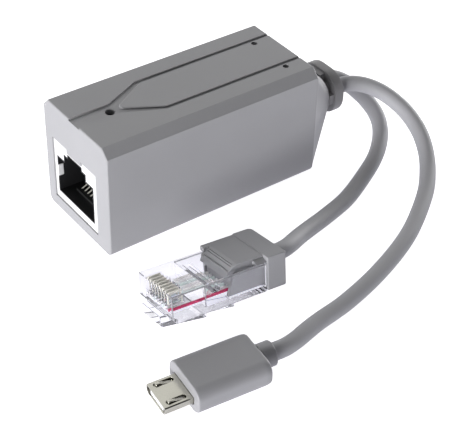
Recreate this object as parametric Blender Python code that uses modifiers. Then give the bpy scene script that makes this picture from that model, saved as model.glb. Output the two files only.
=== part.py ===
"""PoE splitter: a moulded housing with a network jack in front, and two short leads at the rear.

Metres, +Z up. The origin is under the middle of the housing, +X runs from the jack to the leads.
One lead ends in a clear network plug, the other in a micro USB plug, and both lie on the ground.
"""

import math

import bmesh
import bpy
from mathutils import Euler, Matrix, Vector

# Clearances between pieces
GAP = 0.0003
FINE_GAP = 0.0001
OVERLAP = 0.0002
PAST = 0.001

# Housing
BODY_LENGTH = 0.0495
BODY_WIDTH = 0.0230
BODY_HEIGHT = 0.0248
WALL = 0.0016
FRONT_WALL = 0.0018
TOP_CHAMFER = 0.0018
BOTTOM_FILLET = 0.0014
DOME_LENGTH = 0.0085
DOME_WIDTH = 0.0112
DOME_HEIGHT = 0.0086
DOME_RADIUS = 0.0036
DOME_STEPS = 9
DOME_SIDE_CURVE = 0.90
DOME_TOP_CURVE = 0.75
DOME_BOTTOM_CURVE = 1.30
TOP_RECESS = 0.0004

# Raised panel on top, its surround and the small holes
CHANNEL_HALF = 0.0019
CHANNEL_LENGTH = 0.0088
SURROUND_HALF = 0.0057
SURROUND_START = 0.0172
GROOVE = 0.0009
PANEL_NOSE = 0.0101
PANEL_NOSE_RADIUS = 0.0007
LAMP_HOLE_RADIUS = 0.00095
LAMP_HOLE_RIM = 0.00030
LAMP_HOLE_FROM_FRONT = 0.0080
VENT_RADIUS = 0.00065
VENT_FROM_REAR = 0.0044
VENT_OFFSET = 0.0008

# Base cover under the housing
COVER_THICKNESS = 0.0014
POST_RADIUS = 0.0012
POST_HEIGHT = 0.0009
POST_INSET = 0.0030
CLIP_LENGTH = 0.0050
CLIP_HEIGHT = 0.0026
CLIP_THICKNESS = 0.0010

# Network jack
JACK_OFF_CENTRE = 0.261
MOUTH_ASIDE = 0.0003
BEZEL_BESIDE = 0.00155
BEZEL_BELOW = 0.0019
BEZEL_ABOVE = 0.0018
TONGUE_WIDTH = 0.0051
TONGUE_DROP = 0.0011
MOUTH_WIDTH = 0.0128
MOUTH_HEIGHT = 0.0081
MOUTH_BOTTOM = 0.0045
STEP_WIDTH = 0.0076
STEP_HEIGHT = 0.0016
KEY_WIDTH = 0.0048
KEY_HEIGHT = 0.0008
LINER = 0.0004
BEZEL_THICKNESS = 0.0022
JACK_DEPTH = 0.0130
JACK_CAVITY = 0.0112
JACK_SIDE = 0.0008
JACK_TOP = 0.0005
JACK_PITCH = 0.00105
JACK_WIRE = 0.00045
JACK_WIRE_START = 0.0030
JACK_WIRE_RAMP = 0.0052
JACK_WIRE_RISE = 0.0024
JACK_WIRE_LEVEL = 0.0005
SIDE_NOTCH_SHARE = 0.42
SIDE_NOTCH_HEIGHT = 0.0026
SIDE_NOTCH_DEPTH = 0.0011
CONTACTS = 8

# Circuit board and what stands on it
BOARD_LENGTH = 0.0446
BOARD_CLEARANCE = 0.0007
BOARD_THICKNESS = 0.0012
PART_SPACING = 0.0010
PART_ROUNDING = 0.0004
LAN_LENGTH = 0.0092
LAN_WIDTH = 0.0127
LAN_HEIGHT = 0.0058
CORE_LENGTH = 0.0060
CORE_WIDTH = 0.0130
CORE_HEIGHT = 0.0118
CORE_LIMB = 0.0026
BOBBIN_RADIUS = 0.0046
BOBBIN_WALL = 0.0007
CORE_POST_RADIUS = 0.0021
CAPACITOR_RADIUS = 0.00315
CAPACITOR_SPACING = 0.0008
CAPACITOR_HEIGHT = 0.0110
CHIP_LENGTH = 0.0036
CHIP_WIDTH = 0.0048
CHIP_HEIGHT = 0.0015
CHIP_INSET = 0.0005
LAMP_RADIUS = 0.0014
LAMP_HEIGHT = 0.0030

# Strain relief
RELIEF_WIDTH = 0.0096
RELIEF_HEIGHT = 0.0060
RELIEF_CORNER = 0.9
RELIEF_INSIDE = 0.0052
NECK_LENGTH = 0.0016
BRIDGE_ACROSS = 0.0035
BRIDGE_UP = 0.0021
BRIDGE_INSET = 0.0005
FLANGE_WIDTH = 0.0118
FLANGE_HEIGHT = 0.0098
FLANGE_THICKNESS = 0.0023
FLANGE_RADIUS = 0.0044
FLANGE_ROUNDING = 0.0003
RELIEF_HEIGHT_ABOVE = 0.0110

# Leads
LEAD_DIAMETER = 0.0034
LEAD_POINTS = 36
DATA_ROUTE = (
    (0.0332, 0.00195, 0.011), (0.0348, 0.0019, 0.0109), (0.0366, 0.0013, 0.01045),
    (0.0382, 0.0, 0.0096), (0.0394, -0.0022, 0.00835), (0.0402, -0.005, 0.00695),
    (0.0402, -0.0081, 0.00555), (0.0391, -0.0111, 0.0043), (0.0367, -0.0141, 0.0031),
    (0.0326, -0.0174, 0.0023), (0.0268, -0.0207, 0.0019), (0.0188, -0.0247, 0.00195),
    (0.0112, -0.0274, 0.0026), (0.0052, -0.0296, 0.0037), (0.0012, -0.0313, 0.0047),
    (-0.0022, -0.0331, 0.0058), (-0.0046, -0.0342, 0.0065), (-0.0066, -0.03465, 0.0069),
    (-0.00863, -0.03466, 0.00704),
)
POWER_ROUTE = (
    (0.0332, -0.00195, 0.011), (0.0347, -0.00202, 0.01105), (0.0362, -0.00266, 0.01128),
    (0.0377, -0.00387, 0.01145), (0.0393, -0.00595, 0.0114), (0.0408, -0.00855, 0.01085),
    (0.042, -0.0114, 0.0098), (0.0428, -0.0145, 0.0084), (0.0429, -0.0176, 0.0069),
    (0.0422, -0.0208, 0.0055), (0.0406, -0.0242, 0.004), (0.038, -0.0277, 0.0028),
    (0.0333, -0.0323, 0.002), (0.02481, -0.03832, 0.00175), (0.01731, -0.04236, 0.00175),
    (0.00784, -0.04606, 0.00175), (-0.00133, -0.04862, 0.0018), (-0.00891, -0.05009, 0.0022),
    (-0.0127, -0.05115, 0.0026), (-0.0158, -0.05202, 0.0028), (-0.0186, -0.0524, 0.00285),
    (-0.02111, -0.05215, 0.00285),
)

# Network plug, in its own frame: nose at x = 0, top at z = 0
PLUG_PLACE = (-0.0331, -0.0330, 0.0107)
PLUG_TURN = (-11.2, 3.6, -2.9)
PLUG_WIDTH = 0.0115
PLUG_NOSE_LENGTH = 0.0008
PLUG_NOSE_HEIGHT = 0.0046
PLUG_HEIGHT = 0.0057
PLUG_LENGTH = 0.0202
PLUG_WALL = 0.0007
PLUG_TRAY = 0.0072
PLUG_FLOOR = 0.0009
BLADE_PITCH = 0.00102
BLADE_THICKNESS = 0.00036
BLADE_HEIGHT = 0.0024
BLADE_LENGTH = 0.0028
BLADE_FROM_NOSE = 0.0006
BLADE_SUNK = 0.0003
WIRE_DIAMETER = 0.0009
WIRE_DROP = 0.0035
WIRE_COLOURS = ("red", "white", "green", "ivory", "white", "green", "white", "ivory")
LATCH_WIDTH = 0.0063
LATCH_ROOT = 0.0024
LATCH_FORWARD = 0.0011
LATCH_THICKNESS = 0.0010
LATCH_SHOULDER = 0.0085
LATCH_FINGER = 0.0033
LATCH_LENGTH = 0.0155
LATCH_FALL = 0.0022
LATCH_EASE = 0.0004
LATCH_TAPER = 0.8

# Boot on the network plug
BOOT_WIDTH = 0.0117
BOOT_RISE = 0.0013
BOOT_BOTTOM = 0.0056
BOOT_LENGTH = 0.0039
BOOT_CORNER = 0.0004
BOOT_TOE = 0.0115
BOOT_KNEE = 0.0127
BOOT_BROW = 0.0139
BOOT_BROW_DROP = 0.00025
BOOT_CREST = 0.0147
BLOCK_NEAR = 0.0043
FAR_WALL_START = 0.0131
FAR_WALL_OUTER = 0.0056
NEAR_WALL_START = 0.0122
NEAR_WALL_KNEE = 0.0136
NEAR_WALL_LOW = -0.0004
NEAR_WALL_HIGH = 0.0011

# Micro USB plug, in its own frame: mouth at x = 0, axis at y = z = 0
USB_PLACE = (-0.04407, -0.04961, 0.0023)
USB_YAW = -6.3
USB_WIDTH = 0.0069
USB_HEIGHT = 0.0019
USB_SHEET = 0.00025
USB_LENGTH = 0.0054
USB_BURIED = 0.0022
USB_CHAMFER = 0.0006
USB_SLOT_LENGTH = 0.0031
USB_SLOT_WIDTH = 0.0008
USB_SLOT_OFFSET = 0.0020
USB_SLOT_FROM_MOUTH = 0.0012
INSULATOR_HEIGHT = 0.0007
INSULATOR_SUNK = 0.0004
HOOK_RAMP = 0.0003
HOOK_FLAT = 0.0005
HOOK_STAND = 0.0002
HOOK_SHEET = 0.0002
GRIP_WIDTH = 0.0108
GRIP_HEIGHT = 0.0055
GRIP_LIFT = 0.00055
GRIP_LENGTH = 0.0146
GRIP_EASE = 0.0004
GRIP_RADIUS = 0.0022
GRIP_NECK_RADIUS = 0.0024
GRIP_NECK_LENGTH = 0.0028

# Places worked out from the sizes
HALF_LENGTH = (BODY_LENGTH + DOME_LENGTH) / 2
FRONT = -HALF_LENGTH
REAR = FRONT + BODY_LENGTH
DOME_END = HALF_LENGTH
BOARD_TOP = COVER_THICKNESS + POST_HEIGHT + GAP + BOARD_THICKNESS
PART_SEAT = BOARD_TOP + GAP
CAVITY_TOP = BODY_HEIGHT - WALL
BOARD_WIDTH = BODY_WIDTH - 2 * WALL - 2 * BOARD_CLEARANCE
JACK_WIDTH = MOUTH_WIDTH + 2 * LINER + 2 * JACK_SIDE
JACK_OFFSET = JACK_OFF_CENTRE * (BODY_WIDTH - 2 * WALL - JACK_WIDTH)
MOUTH_TOP = MOUTH_BOTTOM + MOUTH_HEIGHT + STEP_HEIGHT + KEY_HEIGHT
WINDOW_WIDTH = MOUTH_WIDTH + 2 * BEZEL_BESIDE
WINDOW_BOTTOM = MOUTH_BOTTOM - BEZEL_BELOW
WINDOW_TOP = MOUTH_TOP + BEZEL_ABOVE
WINDOW_MIDDLE = JACK_OFFSET - MOUTH_ASIDE
JACK_BACK = FRONT + GAP + JACK_DEPTH
FLANGE_FACE = DOME_END + NECK_LENGTH + FLANGE_THICKNESS

parts = None
cutters = None


def clear_scene():
    """Takes away whatever the scene holds."""
    for item in list(bpy.data.objects):
        bpy.data.objects.remove(item, do_unlink=True)


def collection(name):
    """A new collection in the scene."""
    made = bpy.data.collections.new(name)
    bpy.context.scene.collection.children.link(made)
    return made


def material(name, colour, roughness, metallic=0.0, alpha=1.0):
    """A plain Principled material."""
    made = bpy.data.materials.new(name)
    made.use_nodes = True
    shader = made.node_tree.nodes["Principled BSDF"]
    shader.inputs["Base Color"].default_value = (*colour, 1.0)
    shader.inputs["Roughness"].default_value = roughness
    shader.inputs["Metallic"].default_value = metallic
    shader.inputs["Alpha"].default_value = alpha
    made.diffuse_color = (*colour, alpha)
    return made


def settle(obj, name, home):
    """Names an object and moves it to a collection."""
    obj.name = name
    obj.data.name = name
    for old in list(obj.users_collection):
        old.objects.unlink(obj)
    home.objects.link(obj)
    if home is cutters:
        obj.hide_render = True
        obj.display_type = "WIRE"
    return obj


def box(name, low, high, home=None):
    """A box between two corners."""
    low, high = Vector(low), Vector(high)
    bpy.ops.mesh.primitive_cube_add(size=1.0, location=(low + high) / 2)
    made = bpy.context.object
    made.data.transform(Matrix.Diagonal((*(high - low), 1.0)))
    return settle(made, name, home or parts)


def rod(name, centre, radius, length, axis="Z", sides=24, home=None):
    """A round bar centred on a point."""
    turn = {"X": (0, math.pi / 2, 0), "Y": (math.pi / 2, 0, 0), "Z": (0, 0, 0)}[axis]
    bpy.ops.mesh.primitive_cylinder_add(
        vertices=sides, radius=radius, depth=length, location=centre, rotation=turn)
    made = bpy.context.object
    made.data.shade_smooth()
    made.data.set_sharp_from_angle(angle=math.radians(40))
    return settle(made, name, home or parts)


def as_mesh(curve, name, home):
    """Turns a curve object into a mesh with its caps welded."""
    bpy.context.view_layer.update()
    shape = curve.evaluated_get(bpy.context.evaluated_depsgraph_get())
    mesh = bpy.data.meshes.new_from_object(shape)
    made = bpy.data.objects.new(name, mesh)
    made.matrix_world = curve.matrix_world.copy()
    bpy.context.scene.collection.objects.link(made)
    bpy.data.objects.remove(curve, do_unlink=True)
    work = bmesh.new()
    work.from_mesh(mesh)
    bmesh.ops.remove_doubles(work, verts=work.verts, dist=0.000002)
    bmesh.ops.recalc_face_normals(work, faces=work.faces)
    work.to_mesh(mesh)
    work.free()
    return settle(made, name, home)


def plate(name, outline, low, high, plane="XY", home=None):
    """A flat outline given a thickness between two levels of the axis it faces."""
    data = bpy.data.curves.new(name, "CURVE")
    data.dimensions = "2D"
    data.fill_mode = "BOTH"
    data.extrude = (high - low) / 2
    spline = data.splines.new("POLY")
    spline.points.add(len(outline) - 1)
    for point, (a, b) in zip(spline.points, outline):
        point.co = (a, b, 0.0, 1.0)
    spline.use_cyclic_u = True
    curve = bpy.data.objects.new(name, data)
    bpy.context.scene.collection.objects.link(curve)
    middle = (low + high) / 2
    if plane == "XY":
        curve.location = (0.0, 0.0, middle)
    elif plane == "XZ":
        curve.rotation_euler = (math.pi / 2, 0.0, 0.0)
        curve.location = (0.0, middle, 0.0)
    else:
        curve.rotation_euler = (math.pi / 2, 0.0, math.pi / 2)
        curve.location = (middle, 0.0, 0.0)
    return as_mesh(curve, name, home or parts)


def corner_ring(half_width, low, high, top, bottom, chamfered):
    """Points round a section in Y and Z, with round or chamfered top corners."""
    steps = 5
    ring = []
    corners = (
        (half_width, high, top, 0.0, chamfered),
        (-half_width, high, top, 90.0, chamfered),
        (-half_width, low, bottom, 180.0, False),
        (half_width, low, bottom, 270.0, False),
    )
    for y, z, size, start, flat in corners:
        inner_y = y - math.copysign(size, y)
        inner_z = z - size if z == high else z + size
        for step in range(steps):
            share = step / (steps - 1)
            angle = math.radians(start + 90.0 * share)
            across, up = math.cos(angle), math.sin(angle)
            if flat:
                reach = 1.0 / (abs(across) + abs(up))
                across, up = across * reach, up * reach
            ring.append((inner_y + size * across, inner_z + size * up))
    return ring


def loft(name, stations, home=None):
    """A closed skin through rings of equal count, each at its own x."""
    work = bmesh.new()
    rings = [[work.verts.new((x, y, z)) for y, z in ring] for x, ring in stations]
    count = len(rings[0])
    for first, second in zip(rings, rings[1:]):
        for i in range(count):
            j = (i + 1) % count
            work.faces.new((first[i], first[j], second[j], second[i]))
    work.faces.new(rings[0])
    work.faces.new(rings[-1])
    bmesh.ops.recalc_face_normals(work, faces=work.faces)
    mesh = bpy.data.meshes.new(name)
    work.to_mesh(mesh)
    work.free()
    made = bpy.data.objects.new(name, mesh)
    bpy.context.scene.collection.objects.link(made)
    return settle(made, name, home or parts)


def combine(obj, other, operation):
    """Adds a Boolean modifier that cuts or joins with another object."""
    change = obj.modifiers.new(f"{operation.lower()}_{other.name}", "BOOLEAN")
    change.operation = operation
    change.object = other
    change.solver = "EXACT"


def cut(obj, *tools):
    """Cuts objects out of one object."""
    for tool in tools:
        combine(obj, tool, "DIFFERENCE")


def join(obj, *others):
    """Joins objects to one object."""
    for other in others:
        combine(obj, other, "UNION")


def soften(obj, width, segments=2, angle=50.0):
    """Rounds the sharp edges of an object."""
    change = obj.modifiers.new("bevel", "BEVEL")
    change.width = width
    change.segments = segments
    change.limit_method = "ANGLE"
    change.angle_limit = math.radians(angle)


def paint(obj, finish):
    """Gives an object its material."""
    obj.data.materials.clear()
    obj.data.materials.append(finish)
    return obj


def smooth_path(points, count):
    """Evenly spread points on a smooth curve through the given ones."""
    dense = []
    ends = [2 * points[0] - points[1], *points, 2 * points[-1] - points[-2]]
    for a, b, c, d in zip(ends, ends[1:], ends[2:], ends[3:]):
        for step in range(16):
            t = step / 16
            dense.append(0.5 * (2 * b + (c - a) * t + (2 * a - 5 * b + 4 * c - d) * t * t
                                + (3 * b - a - 3 * c + d) * t * t * t))
    dense.append(points[-1])
    lengths = [0.0]
    for a, b in zip(dense, dense[1:]):
        lengths.append(lengths[-1] + (b - a).length)
    spread, place = [], 0
    for i in range(count):
        goal = lengths[-1] * i / (count - 1)
        while place < len(dense) - 2 and lengths[place + 1] < goal:
            place += 1
        share = (goal - lengths[place]) / (lengths[place + 1] - lengths[place])
        spread.append(dense[place].lerp(dense[place + 1], share))
    return spread


def tube(name, points, diameter, resolution=2):
    """A round tube along points."""
    data = bpy.data.curves.new(name, "CURVE")
    data.dimensions = "3D"
    data.bevel_depth = diameter / 2
    data.bevel_resolution = resolution
    data.use_fill_caps = True
    spline = data.splines.new("POLY")
    spline.points.add(len(points) - 1)
    for point, place in zip(spline.points, points):
        point.co = (*place, 1.0)
    curve = bpy.data.objects.new(name, data)
    parts.objects.link(curve)
    return curve


def housing_section():
    """The section of the housing's box."""
    return corner_ring(BODY_WIDTH / 2, 0.0, BODY_HEIGHT, TOP_CHAMFER, BOTTOM_FILLET, True)


def between(start, end, share):
    """The value a share of the way from start to end."""
    return start + (end - start) * share


def dome_stations(inset=0.0):
    """Rings that draw the housing in to the strain relief: quickly at the top, slowly underneath."""
    rings = []
    for step in range(DOME_STEPS + 1):
        along = step / DOME_STEPS
        side, top, bottom = along ** DOME_SIDE_CURVE, along ** DOME_TOP_CURVE, along ** DOME_BOTTOM_CURVE
        half = between(BODY_WIDTH, DOME_WIDTH, side) / 2 - inset
        high = between(BODY_HEIGHT, RELIEF_HEIGHT_ABOVE + DOME_HEIGHT / 2, top) - inset
        low = between(0.0, RELIEF_HEIGHT_ABOVE - DOME_HEIGHT / 2, bottom) + inset
        upper = between(TOP_CHAMFER, DOME_RADIUS, side)
        lower = between(BOTTOM_FILLET, DOME_RADIUS, side)
        rings.append((REAR + DOME_LENGTH * along, corner_ring(half, low, high, upper, lower, step == 0)))
    return rings


def recess_outline():
    """Outline of the sunk band round the raised panel, open at both ends of the housing."""
    inner = SURROUND_HALF - GROOVE
    tip = FRONT + PANEL_NOSE
    side = [
        (FRONT - PAST, CHANNEL_HALF),
        (FRONT + CHANNEL_LENGTH, CHANNEL_HALF),
        (FRONT + SURROUND_START, SURROUND_HALF),
        (REAR + PAST, SURROUND_HALF),
        (REAR + PAST, inner),
        (FRONT + SURROUND_START + GROOVE / 2, inner),
        (tip + PANEL_NOSE_RADIUS * 0.4, PANEL_NOSE_RADIUS),
        (tip, PANEL_NOSE_RADIUS * 0.35),
    ]
    return side + [(x, -y) for x, y in reversed(side)]


def make_housing(finish):
    """The one-piece moulding: front face, sides, top and the dome at the rear."""
    stations = [(FRONT, housing_section())] + dome_stations()
    housing = loft("housing", stations)
    half = BODY_WIDTH / 2 - WALL
    hollow = box("housing_hollow", (FRONT + FRONT_WALL, -half, -PAST), (REAR - WALL, half, CAVITY_TOP),
                 cutters)
    rear_rings = [(REAR - 2 * WALL, dome_stations(WALL)[0][1])]
    rear_rings += [(x - WALL * 0.6, ring) for x, ring in dome_stations(WALL)[1:-1]]
    rear_hollow = loft("dome_hollow", rear_rings, cutters)
    exit_hole = loft("exit_hole", [
        (REAR - WALL, relief_ring(GAP)), (DOME_END + PAST, relief_ring(GAP))], cutters)
    window = plate("jack_window", window_outline(), FRONT - PAST, FRONT + FRONT_WALL + PAST, "YZ",
                   cutters)
    recess = plate("panel_recess", recess_outline(), BODY_HEIGHT - TOP_RECESS, BODY_HEIGHT + PAST, "XY",
                   cutters)
    cut(housing, hollow, rear_hollow, exit_hole, window, recess, *top_holes())
    return paint(housing, finish)


def top_holes():
    """Cutters for the lamp hole with its sunk rim, and for the two small holes at the rear."""
    through = 4 * WALL
    lamp = (FRONT + LAMP_HOLE_FROM_FRONT, 0, BODY_HEIGHT)
    rim = (lamp[0], 0, BODY_HEIGHT - TOP_RECESS - LAMP_HOLE_RIM / 2 + WALL)
    tools = [rod("lamp_hole", lamp, LAMP_HOLE_RADIUS, through, home=cutters),
             rod("lamp_rim", rim, LAMP_HOLE_RADIUS + LAMP_HOLE_RIM, 2 * WALL, home=cutters)]
    for name, y in (("left", SURROUND_HALF - GROOVE - VENT_OFFSET), ("right", -SURROUND_HALF - VENT_OFFSET)):
        tools.append(rod(f"vent_{name}", (REAR - VENT_FROM_REAR, y, BODY_HEIGHT), VENT_RADIUS, through,
                         sides=16, home=cutters))
    return tools


def window_outline():
    """The window for the jack, with the tongue that hangs from its top edge."""
    left, right = WINDOW_MIDDLE + WINDOW_WIDTH / 2, WINDOW_MIDDLE - WINDOW_WIDTH / 2
    top = WINDOW_TOP
    near, far = WINDOW_MIDDLE - TONGUE_WIDTH / 2, WINDOW_MIDDLE + TONGUE_WIDTH / 2
    return [(right, WINDOW_BOTTOM), (left, WINDOW_BOTTOM), (left, top), (far, top), (far, top - TONGUE_DROP),
            (near, top - TONGUE_DROP), (near, top), (right, top)]


def mouth_outline(grow=0.0):
    """The mouth of the jack: a plug's body, with its latch's two steps above."""
    base, shoulder = MOUTH_BOTTOM - grow, MOUTH_BOTTOM + MOUTH_HEIGHT + grow
    half, step, key = MOUTH_WIDTH / 2 + grow, STEP_WIDTH / 2 + grow, KEY_WIDTH / 2 + grow
    top = shoulder + STEP_HEIGHT
    side = [(half, base), (half, shoulder), (step, shoulder), (step, top), (key, top),
            (key, top + KEY_HEIGHT)]
    outline = [(JACK_OFFSET + y, z) for y, z in side]
    return outline + [(JACK_OFFSET - y, z) for y, z in reversed(side)]


def make_base_cover(finish):
    """The plate that closes the underside, with posts for the board and two clips."""
    half = BODY_WIDTH / 2 - WALL - GAP
    front, rear = FRONT + FRONT_WALL + GAP, REAR - WALL - GAP
    cover = box("base_cover", (front, -half, 0), (rear, half, COVER_THICKNESS))
    root = COVER_THICKNESS - OVERLAP
    height = POST_HEIGHT + OVERLAP
    for i, x in enumerate((front + POST_INSET, rear - POST_INSET)):
        for j, y in enumerate((-half + POST_INSET, half - POST_INSET)):
            post = rod(f"post_{i}{j}", (x, y, root + height / 2), POST_RADIUS, height, sides=16, home=cutters)
            join(cover, post)
    for sign in (-1, 1):
        outer = sign * half
        inner = sign * (half - CLIP_THICKNESS)
        low = (-CLIP_LENGTH / 2, min(outer, inner), root)
        high = (CLIP_LENGTH / 2, max(outer, inner), COVER_THICKNESS + CLIP_HEIGHT)
        join(cover, box(f"clip_{'left' if sign > 0 else 'right'}", low, high, cutters))
    return paint(cover, finish)


def make_jack(white, black, gold):
    """The jack: a white bezel in the window, a black body behind it and its spring wires."""
    face = FRONT + GAP
    left, right = WINDOW_MIDDLE + WINDOW_WIDTH / 2 - GAP, WINDOW_MIDDLE - WINDOW_WIDTH / 2 + GAP
    top, bottom = WINDOW_TOP - GAP, WINDOW_BOTTOM + GAP
    bezel_rear = face + BEZEL_THICKNESS
    bezel = box("jack_bezel", (face, right, bottom), (bezel_rear, left, top))
    throat = plate("bezel_mouth", mouth_outline(LINER + FINE_GAP), face - PAST, bezel_rear + PAST, "YZ",
                   cutters)
    near, far = WINDOW_MIDDLE - TONGUE_WIDTH / 2 - GAP, WINDOW_MIDDLE + TONGUE_WIDTH / 2 + GAP
    room = box("tongue_room", (face - PAST, near, top - TONGUE_DROP), (face + FRONT_WALL, far, top + PAST),
               cutters)
    cut(bezel, throat, room)
    notch_low = MOUTH_BOTTOM + MOUTH_HEIGHT * SIDE_NOTCH_SHARE
    tab_start = JACK_OFFSET + MOUTH_WIDTH / 2
    tab = box("bezel_tab", (face, tab_start, notch_low),
              (face + SIDE_NOTCH_DEPTH, tab_start + 2 * LINER, notch_low + SIDE_NOTCH_HEIGHT), cutters)
    join(bezel, tab)
    paint(bezel, white)

    body_top = MOUTH_TOP + LINER + JACK_TOP
    half = JACK_WIDTH / 2
    body = plate("jack_body", mouth_outline(LINER), face, face + BEZEL_THICKNESS + 2 * GAP, "YZ")
    block = box("jack_block", (bezel_rear + GAP, JACK_OFFSET - half, PART_SEAT),
                (JACK_BACK, JACK_OFFSET + half, body_top), cutters)
    cavity = plate("jack_cavity", mouth_outline(), face - PAST, face + JACK_CAVITY, "YZ", cutters)
    side_notch = box("side_notch", (face - PAST, tab_start - LINER, notch_low - FINE_GAP),
                     (face + SIDE_NOTCH_DEPTH + FINE_GAP, tab_start + 2 * LINER,
                      notch_low + SIDE_NOTCH_HEIGHT + FINE_GAP), cutters)
    join(body, block)
    cut(body, cavity, side_notch)
    paint(body, black)

    floor = MOUTH_BOTTOM + JACK_WIRE / 2 + FINE_GAP
    start = face + JACK_WIRE_START
    ramp = start + JACK_WIRE_RAMP
    rise = floor + JACK_WIRE_RISE
    for i in range(CONTACTS):
        y = JACK_OFFSET + (i - (CONTACTS - 1) / 2) * JACK_PITCH
        route = [(start, y, floor), (ramp, y, rise), (face + JACK_CAVITY - GAP, y, rise + JACK_WIRE_LEVEL)]
        paint(tube(f"jack_contact_{i + 1}", route, JACK_WIRE, 1), gold)
    return body_top


def make_board(finishes, jack_top):
    """The circuit board with its transformers, capacitors and chips, and the lamp under the top hole."""
    board_front = FRONT + BEZEL_THICKNESS + 2 * GAP
    board = box("circuit_board", (board_front, -BOARD_WIDTH / 2, BOARD_TOP - BOARD_THICKNESS),
                (board_front + BOARD_LENGTH, BOARD_WIDTH / 2, BOARD_TOP))
    for sign in (-1, 1):
        edge = sign * BOARD_WIDTH / 2
        reach = CLIP_THICKNESS + GAP
        low = (-CLIP_LENGTH / 2 - GAP, min(edge - sign * reach, edge + sign * PAST), 0)
        high = (CLIP_LENGTH / 2 + GAP, max(edge - sign * reach, edge + sign * PAST), BOARD_TOP + PAST)
        cut(board, box(f"clip_room_{'left' if sign > 0 else 'right'}", low, high, cutters))
    paint(board, finishes["board"])

    lan_start = JACK_BACK + PART_SPACING
    lan = box("lan_transformer", (lan_start, -LAN_WIDTH / 2, PART_SEAT),
              (lan_start + LAN_LENGTH, LAN_WIDTH / 2, PART_SEAT + LAN_HEIGHT))
    soften(lan, PART_ROUNDING)
    paint(lan, finishes["black"])

    core_start = lan_start + LAN_LENGTH + PART_SPACING
    make_transformer(core_start, finishes)

    column = core_start + 2 * BOBBIN_RADIUS + PART_SPACING + CAPACITOR_RADIUS
    offset = CAPACITOR_RADIUS + CAPACITOR_SPACING / 2
    for name, side in (("input_capacitor", 1), ("output_capacitor", -1)):
        middle = (column, side * offset, PART_SEAT + CAPACITOR_HEIGHT / 2)
        can = rod(name, middle, CAPACITOR_RADIUS, CAPACITOR_HEIGHT)
        soften(can, PART_ROUNDING)
        paint(can, finishes["can"])

    make_underside_parts(board_front, finishes)
    lamp_middle = (FRONT + LAMP_HOLE_FROM_FRONT, 0, jack_top + GAP + LAMP_HEIGHT / 2)
    lamp = rod("indicator_lamp", lamp_middle, LAMP_RADIUS, LAMP_HEIGHT)
    soften(lamp, LAMP_RADIUS * 0.5, 3)
    paint(lamp, finishes["lamp"])


def make_transformer(start, finishes):
    """The power transformer: a bobbin with its winding between two halves of a ferrite core."""
    middle = start + BOBBIN_RADIUS
    base = PART_SEAT
    flange = BOBBIN_WALL
    height = CORE_HEIGHT - 2 * CORE_LIMB - 2 * GAP
    low = base + CORE_LIMB + GAP
    post = CORE_POST_RADIUS
    high = low + height
    profile = [(post + GAP, high), (BOBBIN_RADIUS, high), (BOBBIN_RADIUS, high - flange),
               (post + GAP + flange, high - flange), (post + GAP + flange, low + flange),
               (BOBBIN_RADIUS, low + flange), (BOBBIN_RADIUS, low), (post + GAP, low)]
    turned("transformer_bobbin", profile, (middle, 0), finishes["black"])
    inner, outer = post + 2 * GAP + flange, BOBBIN_RADIUS - GAP
    turned("transformer_winding", [(inner, high - flange - GAP), (outer, high - flange - GAP),
                                   (outer, low + flange + GAP), (inner, low + flange + GAP)],
           (middle, 0), finishes["tape"])
    half = CORE_WIDTH / 2
    for name, bottom, sign in (("transformer_core_lower", base, 1),
                               ("transformer_core_upper", base + CORE_HEIGHT, -1)):
        mid = base + CORE_HEIGHT / 2 - sign * GAP / 2
        yoke_end = bottom + sign * CORE_LIMB
        ends = sorted((bottom, yoke_end))
        core = box(name, (middle - CORE_LENGTH / 2, -half, ends[0]),
                   (middle + CORE_LENGTH / 2, half, ends[1]))
        span = sorted((bottom + sign * OVERLAP, mid))
        for side in (-1, 1):
            inside = side * (BOBBIN_RADIUS + GAP)
            across = sorted((inside, side * half))
            join(core, box(f"{name}_leg_{side + 1}", (middle - CORE_LENGTH / 2, across[0], span[0]),
                           (middle + CORE_LENGTH / 2, across[1], span[1]), cutters))
        join(core, rod(f"{name}_post", (middle, 0, (span[0] + span[1]) / 2), post, span[1] - span[0],
                       sides=20, home=cutters))
        paint(core, finishes["ferrite"])


def turned(name, profile, centre, finish, steps=24):
    """A ring turned from a closed profile of radius and height."""
    mesh = bpy.data.meshes.new(name)
    verts = [(r, 0.0, z) for r, z in profile]
    edges = [(i, (i + 1) % len(profile)) for i in range(len(profile))]
    mesh.from_pydata(verts, edges, [])
    made = bpy.data.objects.new(name, mesh)
    made.location = (*centre, 0.0)
    parts.objects.link(made)
    screw = made.modifiers.new("screw", "SCREW")
    screw.steps = steps
    screw.render_steps = steps
    screw.use_merge_vertices = True
    screw.merge_threshold = 0.00001
    return paint(made, finish)


def make_underside_parts(board_front, finishes):
    """The low parts in the free corners of the board."""
    rear = board_front + BOARD_LENGTH
    chip_x = rear - CHIP_LENGTH - GAP
    for name, side in (("controller_chip", 1), ("bridge_rectifier", -1)):
        edge = side * (BOARD_WIDTH / 2 - CHIP_INSET)
        across = sorted((edge, edge - side * CHIP_WIDTH))
        chip = box(name, (chip_x, across[0], PART_SEAT),
                   (chip_x + CHIP_LENGTH, across[1], PART_SEAT + CHIP_HEIGHT))
        paint(chip, finishes["black"])


def relief_ring(grow=0.0):
    """Section of the strain relief where it passes through the housing."""
    half, rise = RELIEF_WIDTH / 2 + grow, RELIEF_HEIGHT / 2 + grow
    corner = rise * RELIEF_CORNER
    return corner_ring(half, RELIEF_HEIGHT_ABOVE - rise, RELIEF_HEIGHT_ABOVE + rise, corner, corner, False)


def flange_ring():
    """Section of the outer flange."""
    rise = FLANGE_HEIGHT / 2
    return corner_ring(FLANGE_WIDTH / 2, RELIEF_HEIGHT_ABOVE - rise, RELIEF_HEIGHT_ABOVE + rise,
                       FLANGE_RADIUS, FLANGE_RADIUS, False)


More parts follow.
